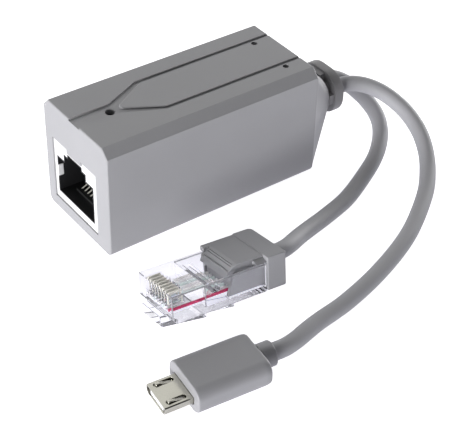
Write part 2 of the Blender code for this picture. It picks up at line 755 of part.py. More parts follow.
def make_strain_relief(finish):
    """The soft moulding round both leads: a sleeve in the housing, four bridges, and a flange outside."""
    neck_start, flange_start = DOME_END + GAP, DOME_END + NECK_LENGTH
    relief = loft("strain_relief", [
        (DOME_END - RELIEF_INSIDE, relief_ring()), (flange_start + 4 * OVERLAP, relief_ring())])
    flange = loft("relief_flange", [(flange_start, flange_ring()), (FLANGE_FACE, flange_ring())], cutters)
    soften(flange, FLANGE_ROUNDING, 2)
    bridges = plate("relief_bridges", bridge_outline(), neck_start, flange_start + 2 * OVERLAP, "YZ", cutters)
    join(relief, flange, bridges)
    return paint(relief, finish)


def bridge_outline():
    """The cross of four bridges that joins the flange to the sleeve, with a slot at each corner."""
    half, rise = FLANGE_WIDTH / 2 - BRIDGE_INSET, FLANGE_HEIGHT / 2 - BRIDGE_INSET
    across, up = BRIDGE_ACROSS / 2, BRIDGE_UP / 2
    quarter = [(half, up), (across, up), (across, rise)]
    upper = quarter + [(-y, z) for y, z in reversed(quarter)]
    outline = upper + [(-y, -z) for y, z in upper]
    return [(y, RELIEF_HEIGHT_ABOVE + z) for y, z in outline]


def make_leads(finish):
    """The two round leads, from the flange to their plugs."""
    for name, route in (("data_lead", DATA_ROUTE), ("power_lead", POWER_ROUTE)):
        points = smooth_path([Vector(point) for point in route], LEAD_POINTS)
        paint(tube(name, points, LEAD_DIAMETER), finish)


def plug_frame():
    """Where the network plug lies: propped on its latch, a little rolled."""
    turn = Euler([math.radians(a) for a in PLUG_TURN], "XYZ").to_matrix().to_4x4()
    return Matrix.Translation(PLUG_PLACE) @ turn


def usb_frame():
    """Where the micro USB plug lies."""
    return Matrix.Translation(USB_PLACE) @ Matrix.Rotation(math.radians(USB_YAW), 4, "Z")


def holder(name, frame):
    """An empty that carries the pieces of a plug."""
    empty = bpy.data.objects.new(name, None)
    empty.matrix_world = frame
    empty.empty_display_size = 0.003
    parts.objects.link(empty)
    return empty


def carry(empty, *objects):
    """Parents objects to an empty, in its frame."""
    for obj in objects:
        obj.parent = empty


def latch_outline():
    """Side view of the latch: a root under the nose and an arm that falls away to the rear."""
    root = -PLUG_NOSE_HEIGHT
    low = root - LATCH_ROOT
    tip = low - LATCH_FALL
    hinge = PLUG_NOSE_LENGTH + FINE_GAP
    return [(-LATCH_FORWARD, root - FINE_GAP), (-LATCH_FORWARD, low + LATCH_EASE),
            (LATCH_EASE - LATCH_FORWARD, low),
            (hinge, low - OVERLAP), (LATCH_LENGTH, tip), (LATCH_LENGTH, tip + LATCH_THICKNESS * LATCH_TAPER),
            (hinge + FINE_GAP, low + LATCH_THICKNESS), (hinge, low + LATCH_THICKNESS + OVERLAP),
            (hinge, root + OVERLAP), (0.0, root + OVERLAP), (0.0, root - FINE_GAP)]


def make_plug(clear, gold, colours):
    """The clear network plug, its blades and the wire ends inside it."""
    half = PLUG_WIDTH / 2
    body = box("plug_body", (PLUG_NOSE_LENGTH, -half, -PLUG_HEIGHT), (PLUG_LENGTH, half, 0))
    nose = box("plug_nose", (0, -half, -PLUG_NOSE_HEIGHT), (PLUG_NOSE_LENGTH + OVERLAP, half, 0), cutters)
    soften(nose, LATCH_EASE, 1)
    arm = plate("latch_arm", latch_outline(), -LATCH_WIDTH / 2, LATCH_WIDTH / 2, "XZ", cutters)
    tray = box("tray", (PLUG_TRAY, -half + PLUG_WALL, -PLUG_HEIGHT + PLUG_FLOOR),
               (PLUG_LENGTH + PAST, half - PLUG_WALL, PAST), cutters)
    span = CONTACTS * BLADE_PITCH
    wire_room = WIRE_DIAMETER / 2 + FINE_GAP
    channel = box("wire_channel", (BLADE_FROM_NOSE, -span / 2 - FINE_GAP, -WIRE_DROP - wire_room),
                  (PLUG_TRAY + PAST, span / 2 + FINE_GAP, -WIRE_DROP + wire_room), cutters)
    join(body, nose, arm)
    cut(body, tray, channel)
    blade_low = -BLADE_SUNK - BLADE_HEIGHT
    pieces = [body, nose, arm, tray, channel]
    for i in range(CONTACTS):
        y = (i - (CONTACTS - 1) / 2) * BLADE_PITCH
        room = BLADE_THICKNESS / 2 + FINE_GAP
        slot = box(f"blade_slot_{i + 1}", (-PAST, y - room, blade_low - FINE_GAP),
                   (BLADE_FROM_NOSE + BLADE_LENGTH + FINE_GAP, y + room, PAST), cutters)
        cut(body, slot)
        blade = box(f"plug_contact_{i + 1}", (BLADE_FROM_NOSE, y - BLADE_THICKNESS / 2, blade_low),
                    (BLADE_FROM_NOSE + BLADE_LENGTH, y + BLADE_THICKNESS / 2, -BLADE_SUNK))
        paint(blade, gold)
        start, end = BLADE_FROM_NOSE + FINE_GAP, BOOT_TOE - FINE_GAP
        wire = tube(f"plug_wire_{i + 1}", [(start, y, -WIRE_DROP), ((start + end) / 2, y, -WIRE_DROP),
                                           (end, y, -WIRE_DROP)], WIRE_DIAMETER, 1)
        paint(wire, colours[WIRE_COLOURS[i]])
        pieces += [slot, blade, wire]
    narrow_latch(body, pieces)
    paint(body, clear)
    carry(holder("network_plug", plug_frame()), *pieces)


def narrow_latch(body, pieces):
    """Narrows the latch behind its shoulders to a finger."""
    below = -PLUG_HEIGHT - GAP
    for side in (-1, 1):
        across = sorted((side * LATCH_FINGER / 2, side * LATCH_WIDTH))
        tool = box(f"latch_side_{side + 1}", (LATCH_SHOULDER, across[0], -0.02),
                   (LATCH_LENGTH + PAST, across[1], below), cutters)
        cut(body, tool)
        pieces.append(tool)


def make_boot(finish):
    """The grey boot: a collar behind the plug, and a sloped block between two walls in the plug's tray."""
    start = PLUG_LENGTH + GAP
    half = BOOT_WIDTH / 2
    collar = box("plug_boot", (start, -half, -BOOT_BOTTOM), (start + BOOT_LENGTH, half, BOOT_RISE))
    soften(collar, BOOT_CORNER, 3)
    base = -PLUG_HEIGHT + PLUG_FLOOR + GAP
    inner = PLUG_WIDTH / 2 - PLUG_WALL - GAP
    rear = start + BOOT_CORNER + OVERLAP
    top = BOOT_RISE - BOOT_BROW_DROP / 2
    slope = [(BOOT_TOE, base), (rear, base), (rear, top), (BOOT_CREST, top),
             (BOOT_BROW, top - BOOT_BROW_DROP), (BOOT_KNEE, 0.0)]
    block = plate("boot_block", slope, -BLOCK_NEAR, inner - FINE_GAP, "XZ", cutters)
    ramp = [(NEAR_WALL_START, base), (rear, base), (rear, NEAR_WALL_HIGH), (NEAR_WALL_KNEE, NEAR_WALL_LOW)]
    near_wall = plate("boot_near_wall", ramp, -inner, -BLOCK_NEAR + OVERLAP, "XZ", cutters)
    far_wall = box("boot_far_wall", (FAR_WALL_START, inner - 2 * OVERLAP, base), (rear, inner, top), cutters)
    rail = box("boot_rail", (FAR_WALL_START, inner - 2 * OVERLAP, GAP), (rear, FAR_WALL_OUTER, top), cutters)
    join(collar, block, near_wall, far_wall, rail)
    paint(collar, finish)
    carry(holder("network_boot", plug_frame()), collar, block, near_wall, far_wall, rail)


def grip_ring(scale=1.0):
    """Section of the micro USB grip."""
    half, rise = GRIP_WIDTH / 2 * scale, GRIP_HEIGHT / 2 * scale
    return corner_ring(half, GRIP_LIFT - rise, GRIP_LIFT + rise, GRIP_RADIUS, GRIP_RADIUS, False)


def shell_outline(inset=0.0):
    """Section of the micro USB shell, narrower underneath."""
    half, rise = USB_WIDTH / 2 - inset, USB_HEIGHT / 2 - inset
    lean = USB_CHAMFER
    return [(half, rise), (-half, rise), (-half, -rise + lean), (-half + lean, -rise), (half - lean, -rise),
            (half, -rise + lean)]


def make_usb(metal, black, finish):
    """The micro USB plug: a folded shell, its insulator and sprung hooks, and a moulded grip."""
    depth = USB_LENGTH + USB_BURIED
    shell = plate("usb_shell", shell_outline(), 0, depth, "YZ")
    hollow = plate("shell_hollow", shell_outline(USB_SHEET), -PAST, depth - USB_SHEET, "YZ", cutters)
    cut(shell, hollow)
    pieces = [shell, hollow]
    hook_room = USB_SLOT_WIDTH / 2 - FINE_GAP
    for name, side in (("left", 1), ("right", -1)):
        y = side * USB_SLOT_OFFSET
        top = USB_HEIGHT / 2
        end = USB_SLOT_FROM_MOUTH + USB_SLOT_LENGTH
        slot = box(f"hook_slot_{name}", (USB_SLOT_FROM_MOUTH, y - USB_SLOT_WIDTH / 2, top - 2 * USB_SHEET),
                   (end, y + USB_SLOT_WIDTH / 2, top + PAST), cutters)
        cut(shell, slot)
        inside = top - USB_SHEET - 2 * FINE_GAP
        tip = USB_SLOT_FROM_MOUTH + FINE_GAP
        rest = depth - 2 * USB_SHEET
        crest = top + HOOK_STAND
        outline = [(tip, inside), (tip + HOOK_RAMP, crest), (tip + HOOK_RAMP + HOOK_FLAT, crest),
                   (end, inside), (rest, inside), (rest, inside - HOOK_SHEET), (tip, inside - HOOK_SHEET)]
        hook = plate(f"usb_hook_{name}", outline, y - hook_room, y + hook_room, "XZ")
        paint(hook, metal)
        pieces += [slot, hook]
    width = USB_WIDTH / 2 - USB_SHEET - GAP - USB_CHAMFER
    floor = -USB_HEIGHT / 2 + USB_SHEET + FINE_GAP
    insulator = box("usb_insulator", (INSULATOR_SUNK, -width, floor),
                    (depth - 2 * USB_SHEET, width, floor + INSULATOR_HEIGHT))
    paint(insulator, black)
    paint(shell, metal)
    grip = make_grip()
    paint(grip, finish)
    pieces += [insulator, grip, *shape_grip(grip)]
    carry(holder("micro_usb_plug", usb_frame()), *pieces)


def make_grip():
    """The moulded grip, its ends slightly drawn in."""
    start, end = USB_LENGTH, USB_LENGTH + GRIP_LENGTH
    return loft("usb_grip", [
        (start, grip_ring(0.95)), (start + GRIP_EASE, grip_ring()), (end - 3 * GRIP_EASE, grip_ring()),
        (end - GRIP_EASE, grip_ring(0.93)), (end, grip_ring(0.85))])


def shape_grip(grip):
    """Joins the neck to the grip and cuts the pocket that takes the shell."""
    end = USB_LENGTH + GRIP_LENGTH
    neck = rod("grip_neck", (end + (GRIP_NECK_LENGTH - PAST) / 2, 0, GRIP_LIFT), GRIP_NECK_RADIUS,
               GRIP_NECK_LENGTH + PAST, "X", 24, cutters)
    depth = USB_LENGTH + USB_BURIED + FINE_GAP
    pocket = plate("shell_pocket", shell_outline(-FINE_GAP), 0, depth, "YZ", cutters)
    join(grip, neck)
    cut(grip, pocket)
    return neck, pocket


def main():
    """Builds the whole splitter."""
    global parts, cutters
    clear_scene()
    parts = collection("poe_splitter")
    cutters = collection("cutters")
    grey = material("grey_moulding", (0.27, 0.27, 0.275), 0.45)
    soft_grey = material("grey_soft_moulding", (0.25, 0.25, 0.255), 0.55)
    sheath = material("grey_sheath", (0.26, 0.26, 0.27), 0.5)
    white = material("white_moulding", (0.85, 0.85, 0.85), 0.4)
    black = material("black_moulding", (0.012, 0.012, 0.013), 0.4)
    gold = material("gold_plating", (0.85, 0.62, 0.25), 0.25, 1.0)
    nickel = material("nickel_plating", (0.62, 0.60, 0.54), 0.22, 1.0)
    clear = material("clear_moulding", (0.92, 0.94, 0.95), 0.05, 0.0, 0.35)
    finishes = {
        "board": material("board_green", (0.02, 0.16, 0.07), 0.5),
        "black": black,
        "ferrite": material("ferrite", (0.05, 0.05, 0.055), 0.6),
        "tape": material("winding_tape", (0.62, 0.45, 0.06), 0.5),
        "can": material("capacitor_sleeve", (0.02, 0.03, 0.10), 0.35),
        "lamp": material("lamp_green", (0.10, 0.45, 0.12), 0.2),
    }
    wires = {
        "red": material("wire_red", (0.45, 0.02, 0.09), 0.45),
        "white": material("wire_white", (0.80, 0.79, 0.76), 0.45),
        "green": material("wire_green", (0.35, 0.66, 0.58), 0.45),
        "ivory": material("wire_ivory", (0.78, 0.74, 0.66), 0.45),
    }
    make_housing(grey)
    make_base_cover(grey)
    jack_top = make_jack(white, black, gold)
    make_board(finishes, jack_top)
    make_strain_relief(soft_grey)
    make_leads(sheath)
    make_plug(clear, gold, wires)
    make_boot(soft_grey)
    make_usb(nickel, black, soft_grey)
    bpy.context.view_layer.update()


main()
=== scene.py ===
"""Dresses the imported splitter: finely modelled pieces over its solids, finishes, leads, lamps and camera.

Metres, +Z up. The housing stands on z = 0 with its jack towards -X and its leads towards +X.
"""

import logging
import math
from collections.abc import Callable, Iterator, Sequence
from contextlib import contextmanager
from dataclasses import dataclass
from enum import Enum

import bmesh
import bpy
from mathutils import Matrix, Vector


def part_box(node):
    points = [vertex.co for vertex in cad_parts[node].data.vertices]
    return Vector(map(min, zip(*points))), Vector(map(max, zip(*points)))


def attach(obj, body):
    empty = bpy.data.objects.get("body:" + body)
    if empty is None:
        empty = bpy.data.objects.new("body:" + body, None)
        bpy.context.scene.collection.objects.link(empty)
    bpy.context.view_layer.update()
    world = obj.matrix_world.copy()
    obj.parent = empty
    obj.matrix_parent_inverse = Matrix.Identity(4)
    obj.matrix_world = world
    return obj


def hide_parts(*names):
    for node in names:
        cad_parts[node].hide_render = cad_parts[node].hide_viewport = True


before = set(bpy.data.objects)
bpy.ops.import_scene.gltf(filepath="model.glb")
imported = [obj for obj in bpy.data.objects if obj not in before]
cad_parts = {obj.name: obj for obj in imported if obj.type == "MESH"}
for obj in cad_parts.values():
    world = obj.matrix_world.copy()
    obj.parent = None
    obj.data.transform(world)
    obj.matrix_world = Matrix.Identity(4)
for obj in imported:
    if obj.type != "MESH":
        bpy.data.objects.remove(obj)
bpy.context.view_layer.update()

Point2 = tuple[float, float]
Point3 = tuple[float, float, float]
Colour = tuple[float, float, float]
Test = Callable[[Vector], bool]

LOG = logging.getLogger("splitter")
BODY = "root"

# Distances and counts that several pieces share

GAP = 0.0003
FINE_GAP = 0.0001
SNUG = GAP / 6
OVERLAP = 0.0002
PAST = 0.001
TINY = 1e-6
MERGE_REACH = 0.00001
FLAT_ANGLE = 1.0
CURVE_STEPS = 16
NOISE_RANGE = (0.3, 0.7)

# Routes of the leads, from the strain relief to the plug

DATA_ROUTE: tuple[Point3, ...] = (
    (0.0332, 0.00195, 0.011), (0.0348, 0.0019, 0.0109), (0.0366, 0.0013, 0.01045),
    (0.0382, 0.0, 0.0096), (0.0394, -0.0022, 0.00835), (0.0402, -0.005, 0.00695),
    (0.0402, -0.0081, 0.00555), (0.0391, -0.0111, 0.0043), (0.0367, -0.0141, 0.0031),
    (0.0326, -0.0174, 0.0023), (0.0268, -0.0207, 0.0019), (0.0188, -0.0247, 0.00195),
    (0.0112, -0.0274, 0.0026), (0.0052, -0.0296, 0.0037), (0.0012, -0.0313, 0.0047),
    (-0.0022, -0.0331, 0.0058), (-0.0046, -0.0342, 0.0065), (-0.0066, -0.03465, 0.0069),
    (-0.00863, -0.03466, 0.00704),
)
POWER_ROUTE: tuple[Point3, ...] = (
    (0.0332, -0.00195, 0.011), (0.0347, -0.00202, 0.01105), (0.0362, -0.00266, 0.01128),
    (0.0377, -0.00387, 0.01145), (0.0393, -0.00595, 0.0114), (0.0408, -0.00855, 0.01085),
    (0.042, -0.0114, 0.0098), (0.0428, -0.0145, 0.0084), (0.0429, -0.0176, 0.0069),
    (0.0422, -0.0208, 0.0055), (0.0406, -0.0242, 0.004), (0.038, -0.0277, 0.0028),
    (0.0333, -0.0323, 0.002), (0.02481, -0.03832, 0.00175), (0.01731, -0.04236, 0.00175),
    (0.00784, -0.04606, 0.00175), (-0.00133, -0.04862, 0.0018), (-0.00891, -0.05009, 0.0022),
    (-0.0127, -0.05115, 0.0026), (-0.0158, -0.05202, 0.0028), (-0.0186, -0.0524, 0.00285),
    (-0.02111, -0.05215, 0.00285),
)


class Plane(Enum):
    """The plane that a flat outline is drawn in."""

    PLAN = "XY"
    SIDE = "XZ"
    END = "YZ"


class Pick(Enum):
    """What a selection test looks at."""

    VERTICES = "VERT"
    EDGES = "EDGE"
    FACES = "FACE"


# Modelling steps


def select_only(*items: bpy.types.Object) -> None:
    """Selects the given objects alone, the first one active.

    Args:
        items: objects to select.
    """
    bpy.ops.object.select_all(action="DESELECT")
    for item in items:
        item.select_set(True)
    bpy.context.view_layer.objects.active = items[0]


@contextmanager
def editing(item: bpy.types.Object) -> Iterator[None]:
    """Holds an object in edit mode, with nothing selected at first.

    Args:
        item: the object to edit.
    """
    select_only(item)
    bpy.ops.object.mode_set(mode="EDIT")
    bpy.ops.mesh.select_all(action="DESELECT")
    yield
    bpy.ops.object.mode_set(mode="OBJECT")


def pick(item: bpy.types.Object, kind: Pick, test: Test) -> int:
    """Selects what passes a test on its middle, in edit mode.

    Args:
        item: the object in edit mode.
        kind: vertices, edges or faces.
        test: says whether a middle point is wanted.

    Returns:
        How many were selected.
    """
    bpy.ops.mesh.select_mode(type=kind.value)
    bpy.ops.mesh.select_all(action="DESELECT")
    work = bmesh.from_edit_mesh(item.data)
    found = 0
    for part in {Pick.VERTICES: work.verts, Pick.EDGES: work.edges, Pick.FACES: work.faces}[kind]:
        if kind is Pick.VERTICES:
            middle = part.co
        else:
            middle = sum((vertex.co for vertex in part.verts), Vector()) / len(part.verts)
        if test(middle):
            part.select_set(True)
            found += 1
    work.select_flush_mode()
    bmesh.update_edit_mesh(item.data)
    return found


def settle(item: bpy.types.Object, name: str) -> bpy.types.Object:
    """Names an object and moves its place into its mesh.

    Args:
        item: the object.
        name: its new name.

    Returns:
        The same object.
    """
    item.name = name
    item.data.name = name
    select_only(item)
    bpy.ops.object.transform_apply(location=True, rotation=True, scale=True)
    return item


def block(name: str, low: Sequence[float], high: Sequence[float], rounding: float = 0.0, steps: int = 2,
          ) -> bpy.types.Object:
    """Adds a block between two corners, with its edges rounded where wanted.

    Args:
        name: the piece's name.
        low: its lowest corner.
        high: its highest corner.
        rounding: radius of all its edges.
        steps: segments of the rounding.

    Returns:
        The block.
    """
    bottom, top = Vector(low), Vector(high)
    bpy.ops.mesh.primitive_cube_add(size=1.0, location=(bottom + top) / 2)
    item = bpy.context.object
    item.scale = top - bottom
    settle(item, name)
    if rounding:
        with editing(item):
            bpy.ops.mesh.select_all(action="SELECT")
            bpy.ops.mesh.bevel(offset=rounding, segments=steps, affect="EDGES")
    return item


def rod(name: str, centre: Sequence[float], radius: float, length: float, axis: str = "Z", sides: int = 48,
        ) -> bpy.types.Object:
    """Adds a round bar centred on a point.

    Args:
        name: the piece's name.
        centre: its middle.
        radius: its radius.
        length: its length.
        axis: X, Y or Z.
        sides: how many sides stand for the round.

    Returns:
        The bar.
    """
    turn = {"X": (0.0, math.pi / 2, 0.0), "Y": (math.pi / 2, 0.0, 0.0), "Z": (0.0, 0.0, 0.0)}[axis]
    bpy.ops.mesh.primitive_cylinder_add(
        vertices=sides, radius=radius, depth=length, location=centre, rotation=turn)
    return settle(bpy.context.object, name)


def outline_block(name: str, outline: Sequence[Point2], low: float, high: float, plane: Plane = Plane.PLAN,
                  ) -> bpy.types.Object:
    """Gives a flat outline a thickness.

    Args:
        name: the piece's name.
        outline: the outline's corners in its plane.
        low: where the thickness starts, along the plane's normal.
        high: where it ends.
        plane: the plane of the outline.

    Returns:
        The block.
    """
    data = bpy.data.curves.new(name, "CURVE")
    data.dimensions = "2D"
    data.fill_mode = "BOTH"
    data.extrude = (high - low) / 2
    spline = data.splines.new("POLY")
    spline.points.add(len(outline) - 1)
    for point, (across, up) in zip(spline.points, outline):
        point.co = (across, up, 0.0, 1.0)
    spline.use_cyclic_u = True
    item = bpy.data.objects.new(name, data)
    bpy.context.scene.collection.objects.link(item)
    select_only(item)
    bpy.ops.object.convert(target="MESH")
    item = bpy.context.object
    middle = (low + high) / 2
    if plane is Plane.PLAN:
        item.location = (0.0, 0.0, middle)
    elif plane is Plane.SIDE:
        item.rotation_euler = (math.pi / 2, 0.0, 0.0)
        item.location = (0.0, middle, 0.0)
    else:
        item.rotation_euler = (math.pi / 2, 0.0, math.pi / 2)
        item.location = (middle, 0.0, 0.0)
    settle(item, name)
    tidy(item)
    return item


def tidy(item: bpy.types.Object, reach: float = 0.000002) -> None:
    """Merges doubled vertices and turns the faces outwards.

    Args:
        item: the object.
        reach: how close doubles lie.
    """
    with editing(item):
        bpy.ops.mesh.select_all(action="SELECT")
        bpy.ops.mesh.remove_doubles(threshold=reach)
        bpy.ops.mesh.normals_make_consistent(inside=False)


def arc(centre: Point2, radius: float, start: float, end: float, steps: int) -> list[Point2]:
    """Points along an arc between two angles in degrees, in so many steps, both ends included."""
    angles = [math.radians(start + (end - start) * i / steps) for i in range(steps + 1)]
    return [(centre[0] + radius * math.cos(a), centre[1] + radius * math.sin(a)) for a in angles]


@dataclass(frozen=True)
class Section:
    """One section of a lofted piece, square to X, with rounded or chamfered corners."""

    x: float
    width: float
    height: float
    top: float
    bottom: float
    rise: float = 0.0
    top_profile: float = 0.5
    steps: int = 8

    def draw(self) -> bpy.types.Object:
        """Draws the section as a flat face with bevelled corners.

        Returns:
            The face.
        """
        bpy.ops.mesh.primitive_plane_add(
            size=1.0, location=(self.x, 0.0, self.rise), rotation=(math.pi / 2, 0.0, math.pi / 2))
        item = bpy.context.object
        item.scale = (self.width, self.height, 1.0)
        settle(item, "section")
        with editing(item):
            pick(item, Pick.VERTICES, lambda point: point.z > self.rise)
            bpy.ops.mesh.bevel(
                offset=self.top, segments=self.steps, profile=self.top_profile, affect="VERTICES")
            pick(item, Pick.VERTICES, lambda point: point.z < self.rise - self.height / 2 + TINY)
            bpy.ops.mesh.bevel(offset=self.bottom, segments=self.steps, affect="VERTICES")
        return item


def loft(name: str, sections: Sequence[Section]) -> bpy.types.Object:
    """Bridges sections into one closed skin.

    Args:
        name: the piece's name.
        sections: the sections in order along X.

    Returns:
        The closed piece.
    """
    rings = [section.draw() for section in sections]
    select_only(*rings)
    bpy.ops.object.join()
    item = settle(bpy.context.object, name)
    with editing(item):
        bpy.ops.mesh.select_all(action="SELECT")
        bpy.ops.mesh.delete(type="ONLY_FACE")
        for first, second in zip(sections, sections[1:]):
            pick(item, Pick.EDGES, lambda point: min(abs(point.x - first.x), abs(point.x - second.x)) < TINY)
            bpy.ops.mesh.bridge_edge_loops()
        bpy.ops.mesh.select_all(action="SELECT")
        bpy.ops.mesh.fill_holes(sides=0)
        bpy.ops.mesh.select_all(action="SELECT")
        bpy.ops.mesh.normals_make_consistent(inside=False)
    return item


def finish_modifier(item: bpy.types.Object, kind: str, **settings: object) -> bpy.types.Object:
    """Adds one modifier and applies it.

    Args:
        item: the object.
        kind: the modifier's type.
        settings: values to set on it.

    Returns:
        The same object.
    """
    select_only(item)
    change = item.modifiers.new(kind.lower(), kind)
    for key, value in settings.items():
        setattr(change, key, value)
    bpy.ops.object.modifier_apply(modifier=change.name)
    return item


def combine(item: bpy.types.Object, tools: Sequence[bpy.types.Object], operation: str) -> bpy.types.Object:
    """Cuts or joins objects with one object and takes them away.

    Args:
        item: the object that stays.
        tools: the objects that are used up.
        operation: DIFFERENCE or UNION.

    Returns:
        The object that stays.
    """
    for tool in tools:
        finish_modifier(item, "BOOLEAN", operation=operation, object=tool, solver="EXACT")
        bpy.data.objects.remove(tool, do_unlink=True)
    return item


def cut(item: bpy.types.Object, *tools: bpy.types.Object) -> bpy.types.Object:
    """Cuts tools out of an object."""
    return combine(item, tools, "DIFFERENCE")


def fuse(item: bpy.types.Object, *others: bpy.types.Object) -> bpy.types.Object:
    """Joins others to an object."""
    return combine(item, others, "UNION")


def ease_edges(item: bpy.types.Object, width: float, segments: int = 2, angle: float = 40.0, finish: int = -1,
               ) -> bpy.types.Object:
    """Rounds the sharp edges of a piece.

    Args:
        item: the piece.
        width: the rounding's width.
        segments: its segments.
        angle: edges sharper than this many degrees are rounded.
        finish: material slot of the roundings, -1 where they keep the faces' own.

    Returns:
        The same piece.
    """
    with editing(item):
        bpy.ops.mesh.select_all(action="SELECT")
        bpy.ops.mesh.remove_doubles(threshold=MERGE_REACH)
        bpy.ops.mesh.dissolve_limited(angle_limit=math.radians(FLAT_ANGLE))
    return finish_modifier(item, "BEVEL", width=width, segments=segments, limit_method="ANGLE",
                           angle_limit=math.radians(angle), miter_outer="MITER_ARC", harden_normals=False,
                           use_clamp_overlap=True, material=finish)


def smooth(item: bpy.types.Object, angle: float = 35.0) -> bpy.types.Object:
    """Shades a piece smooth, with its large faces flat.

    Args:
        item: the piece.
        angle: edges sharper than this many degrees stay sharp.

    Returns:
        The same piece.
    """
    select_only(item)
    bpy.ops.object.shade_smooth_by_angle(angle=math.radians(angle))
    return finish_modifier(item, "WEIGHTED_NORMAL", mode="FACE_AREA", weight=100, keep_sharp=True)


def between(start: float, end: float, share: float) -> float:
    """The value a share of the way from start to end."""
    return start + (end - start) * share


def smooth_path(points: Sequence[Point3], count: int) -> list[Vector]:
    """Spreads points evenly on a smooth curve through the given ones.

    Args:
        points: the points that the curve passes through.
        count: how many points come back.

    Returns:
        The points on the curve.
    """
    stations = [Vector(point) for point in points]
    ends = [2 * stations[0] - stations[1], *stations, 2 * stations[-1] - stations[-2]]
    dense: list[Vector] = []
    for before, start, end, after in zip(ends, ends[1:], ends[2:], ends[3:]):
        for step in range(CURVE_STEPS):
            along = step / CURVE_STEPS
            dense.append(0.5 * (2 * start + (end - before) * along
                                + (2 * before - 5 * start + 4 * end - after) * along * along
                                + (3 * start - before - 3 * end + after) * along * along * along))
    dense.append(stations[-1])
    lengths = [0.0]
    for start, end in zip(dense, dense[1:]):
        lengths.append(lengths[-1] + (end - start).length)
    spread: list[Vector] = []
    place = 0
    for i in range(count):
        goal = lengths[-1] * i / (count - 1)
        while place < len(dense) - 2 and lengths[place + 1] < goal:
            place += 1
        share = (goal - lengths[place]) / (lengths[place + 1] - lengths[place])
        spread.append(dense[place].lerp(dense[place + 1], share))
    return spread


def tube(name: str, points: Sequence[Sequence[float]], diameter: float, resolution: int = 6,
         ) -> bpy.types.Object:
    """Adds a round tube along points, as a curve.

    Args:
        name: the piece's name.
        points: its centreline.
        diameter: its diameter.
        resolution: roundness of the tube.

    Returns:
        The curve object.
    """
    data = bpy.data.curves.new(name, "CURVE")
    data.dimensions = "3D"
    data.bevel_depth = diameter / 2
    data.bevel_resolution = resolution
    data.use_fill_caps = True
    spline = data.splines.new("POLY")
    spline.points.add(len(points) - 1)
    for point, place in zip(spline.points, points):
        point.co = (*place, 1.0)
    spline.use_smooth = True
    item = bpy.data.objects.new(name, data)
    bpy.context.scene.collection.objects.link(item)
    return item


def wire(name: str, points: Sequence[Sequence[float]], diameter: float, resolution: int = 3,
         ) -> bpy.types.Object:
    """Adds a thin round wire along points, as a mesh.

    Args:
        name: the piece's name.
        points: its centreline.
        diameter: its diameter.
        resolution: roundness of the wire.

    Returns:
        The wire.
    """
    item = tube(name, points, diameter, resolution)
    select_only(item)
    bpy.ops.object.convert(target="MESH")
    item = settle(bpy.context.object, name)
    tidy(item)
    return smooth(item, 60.0)


# Finishes


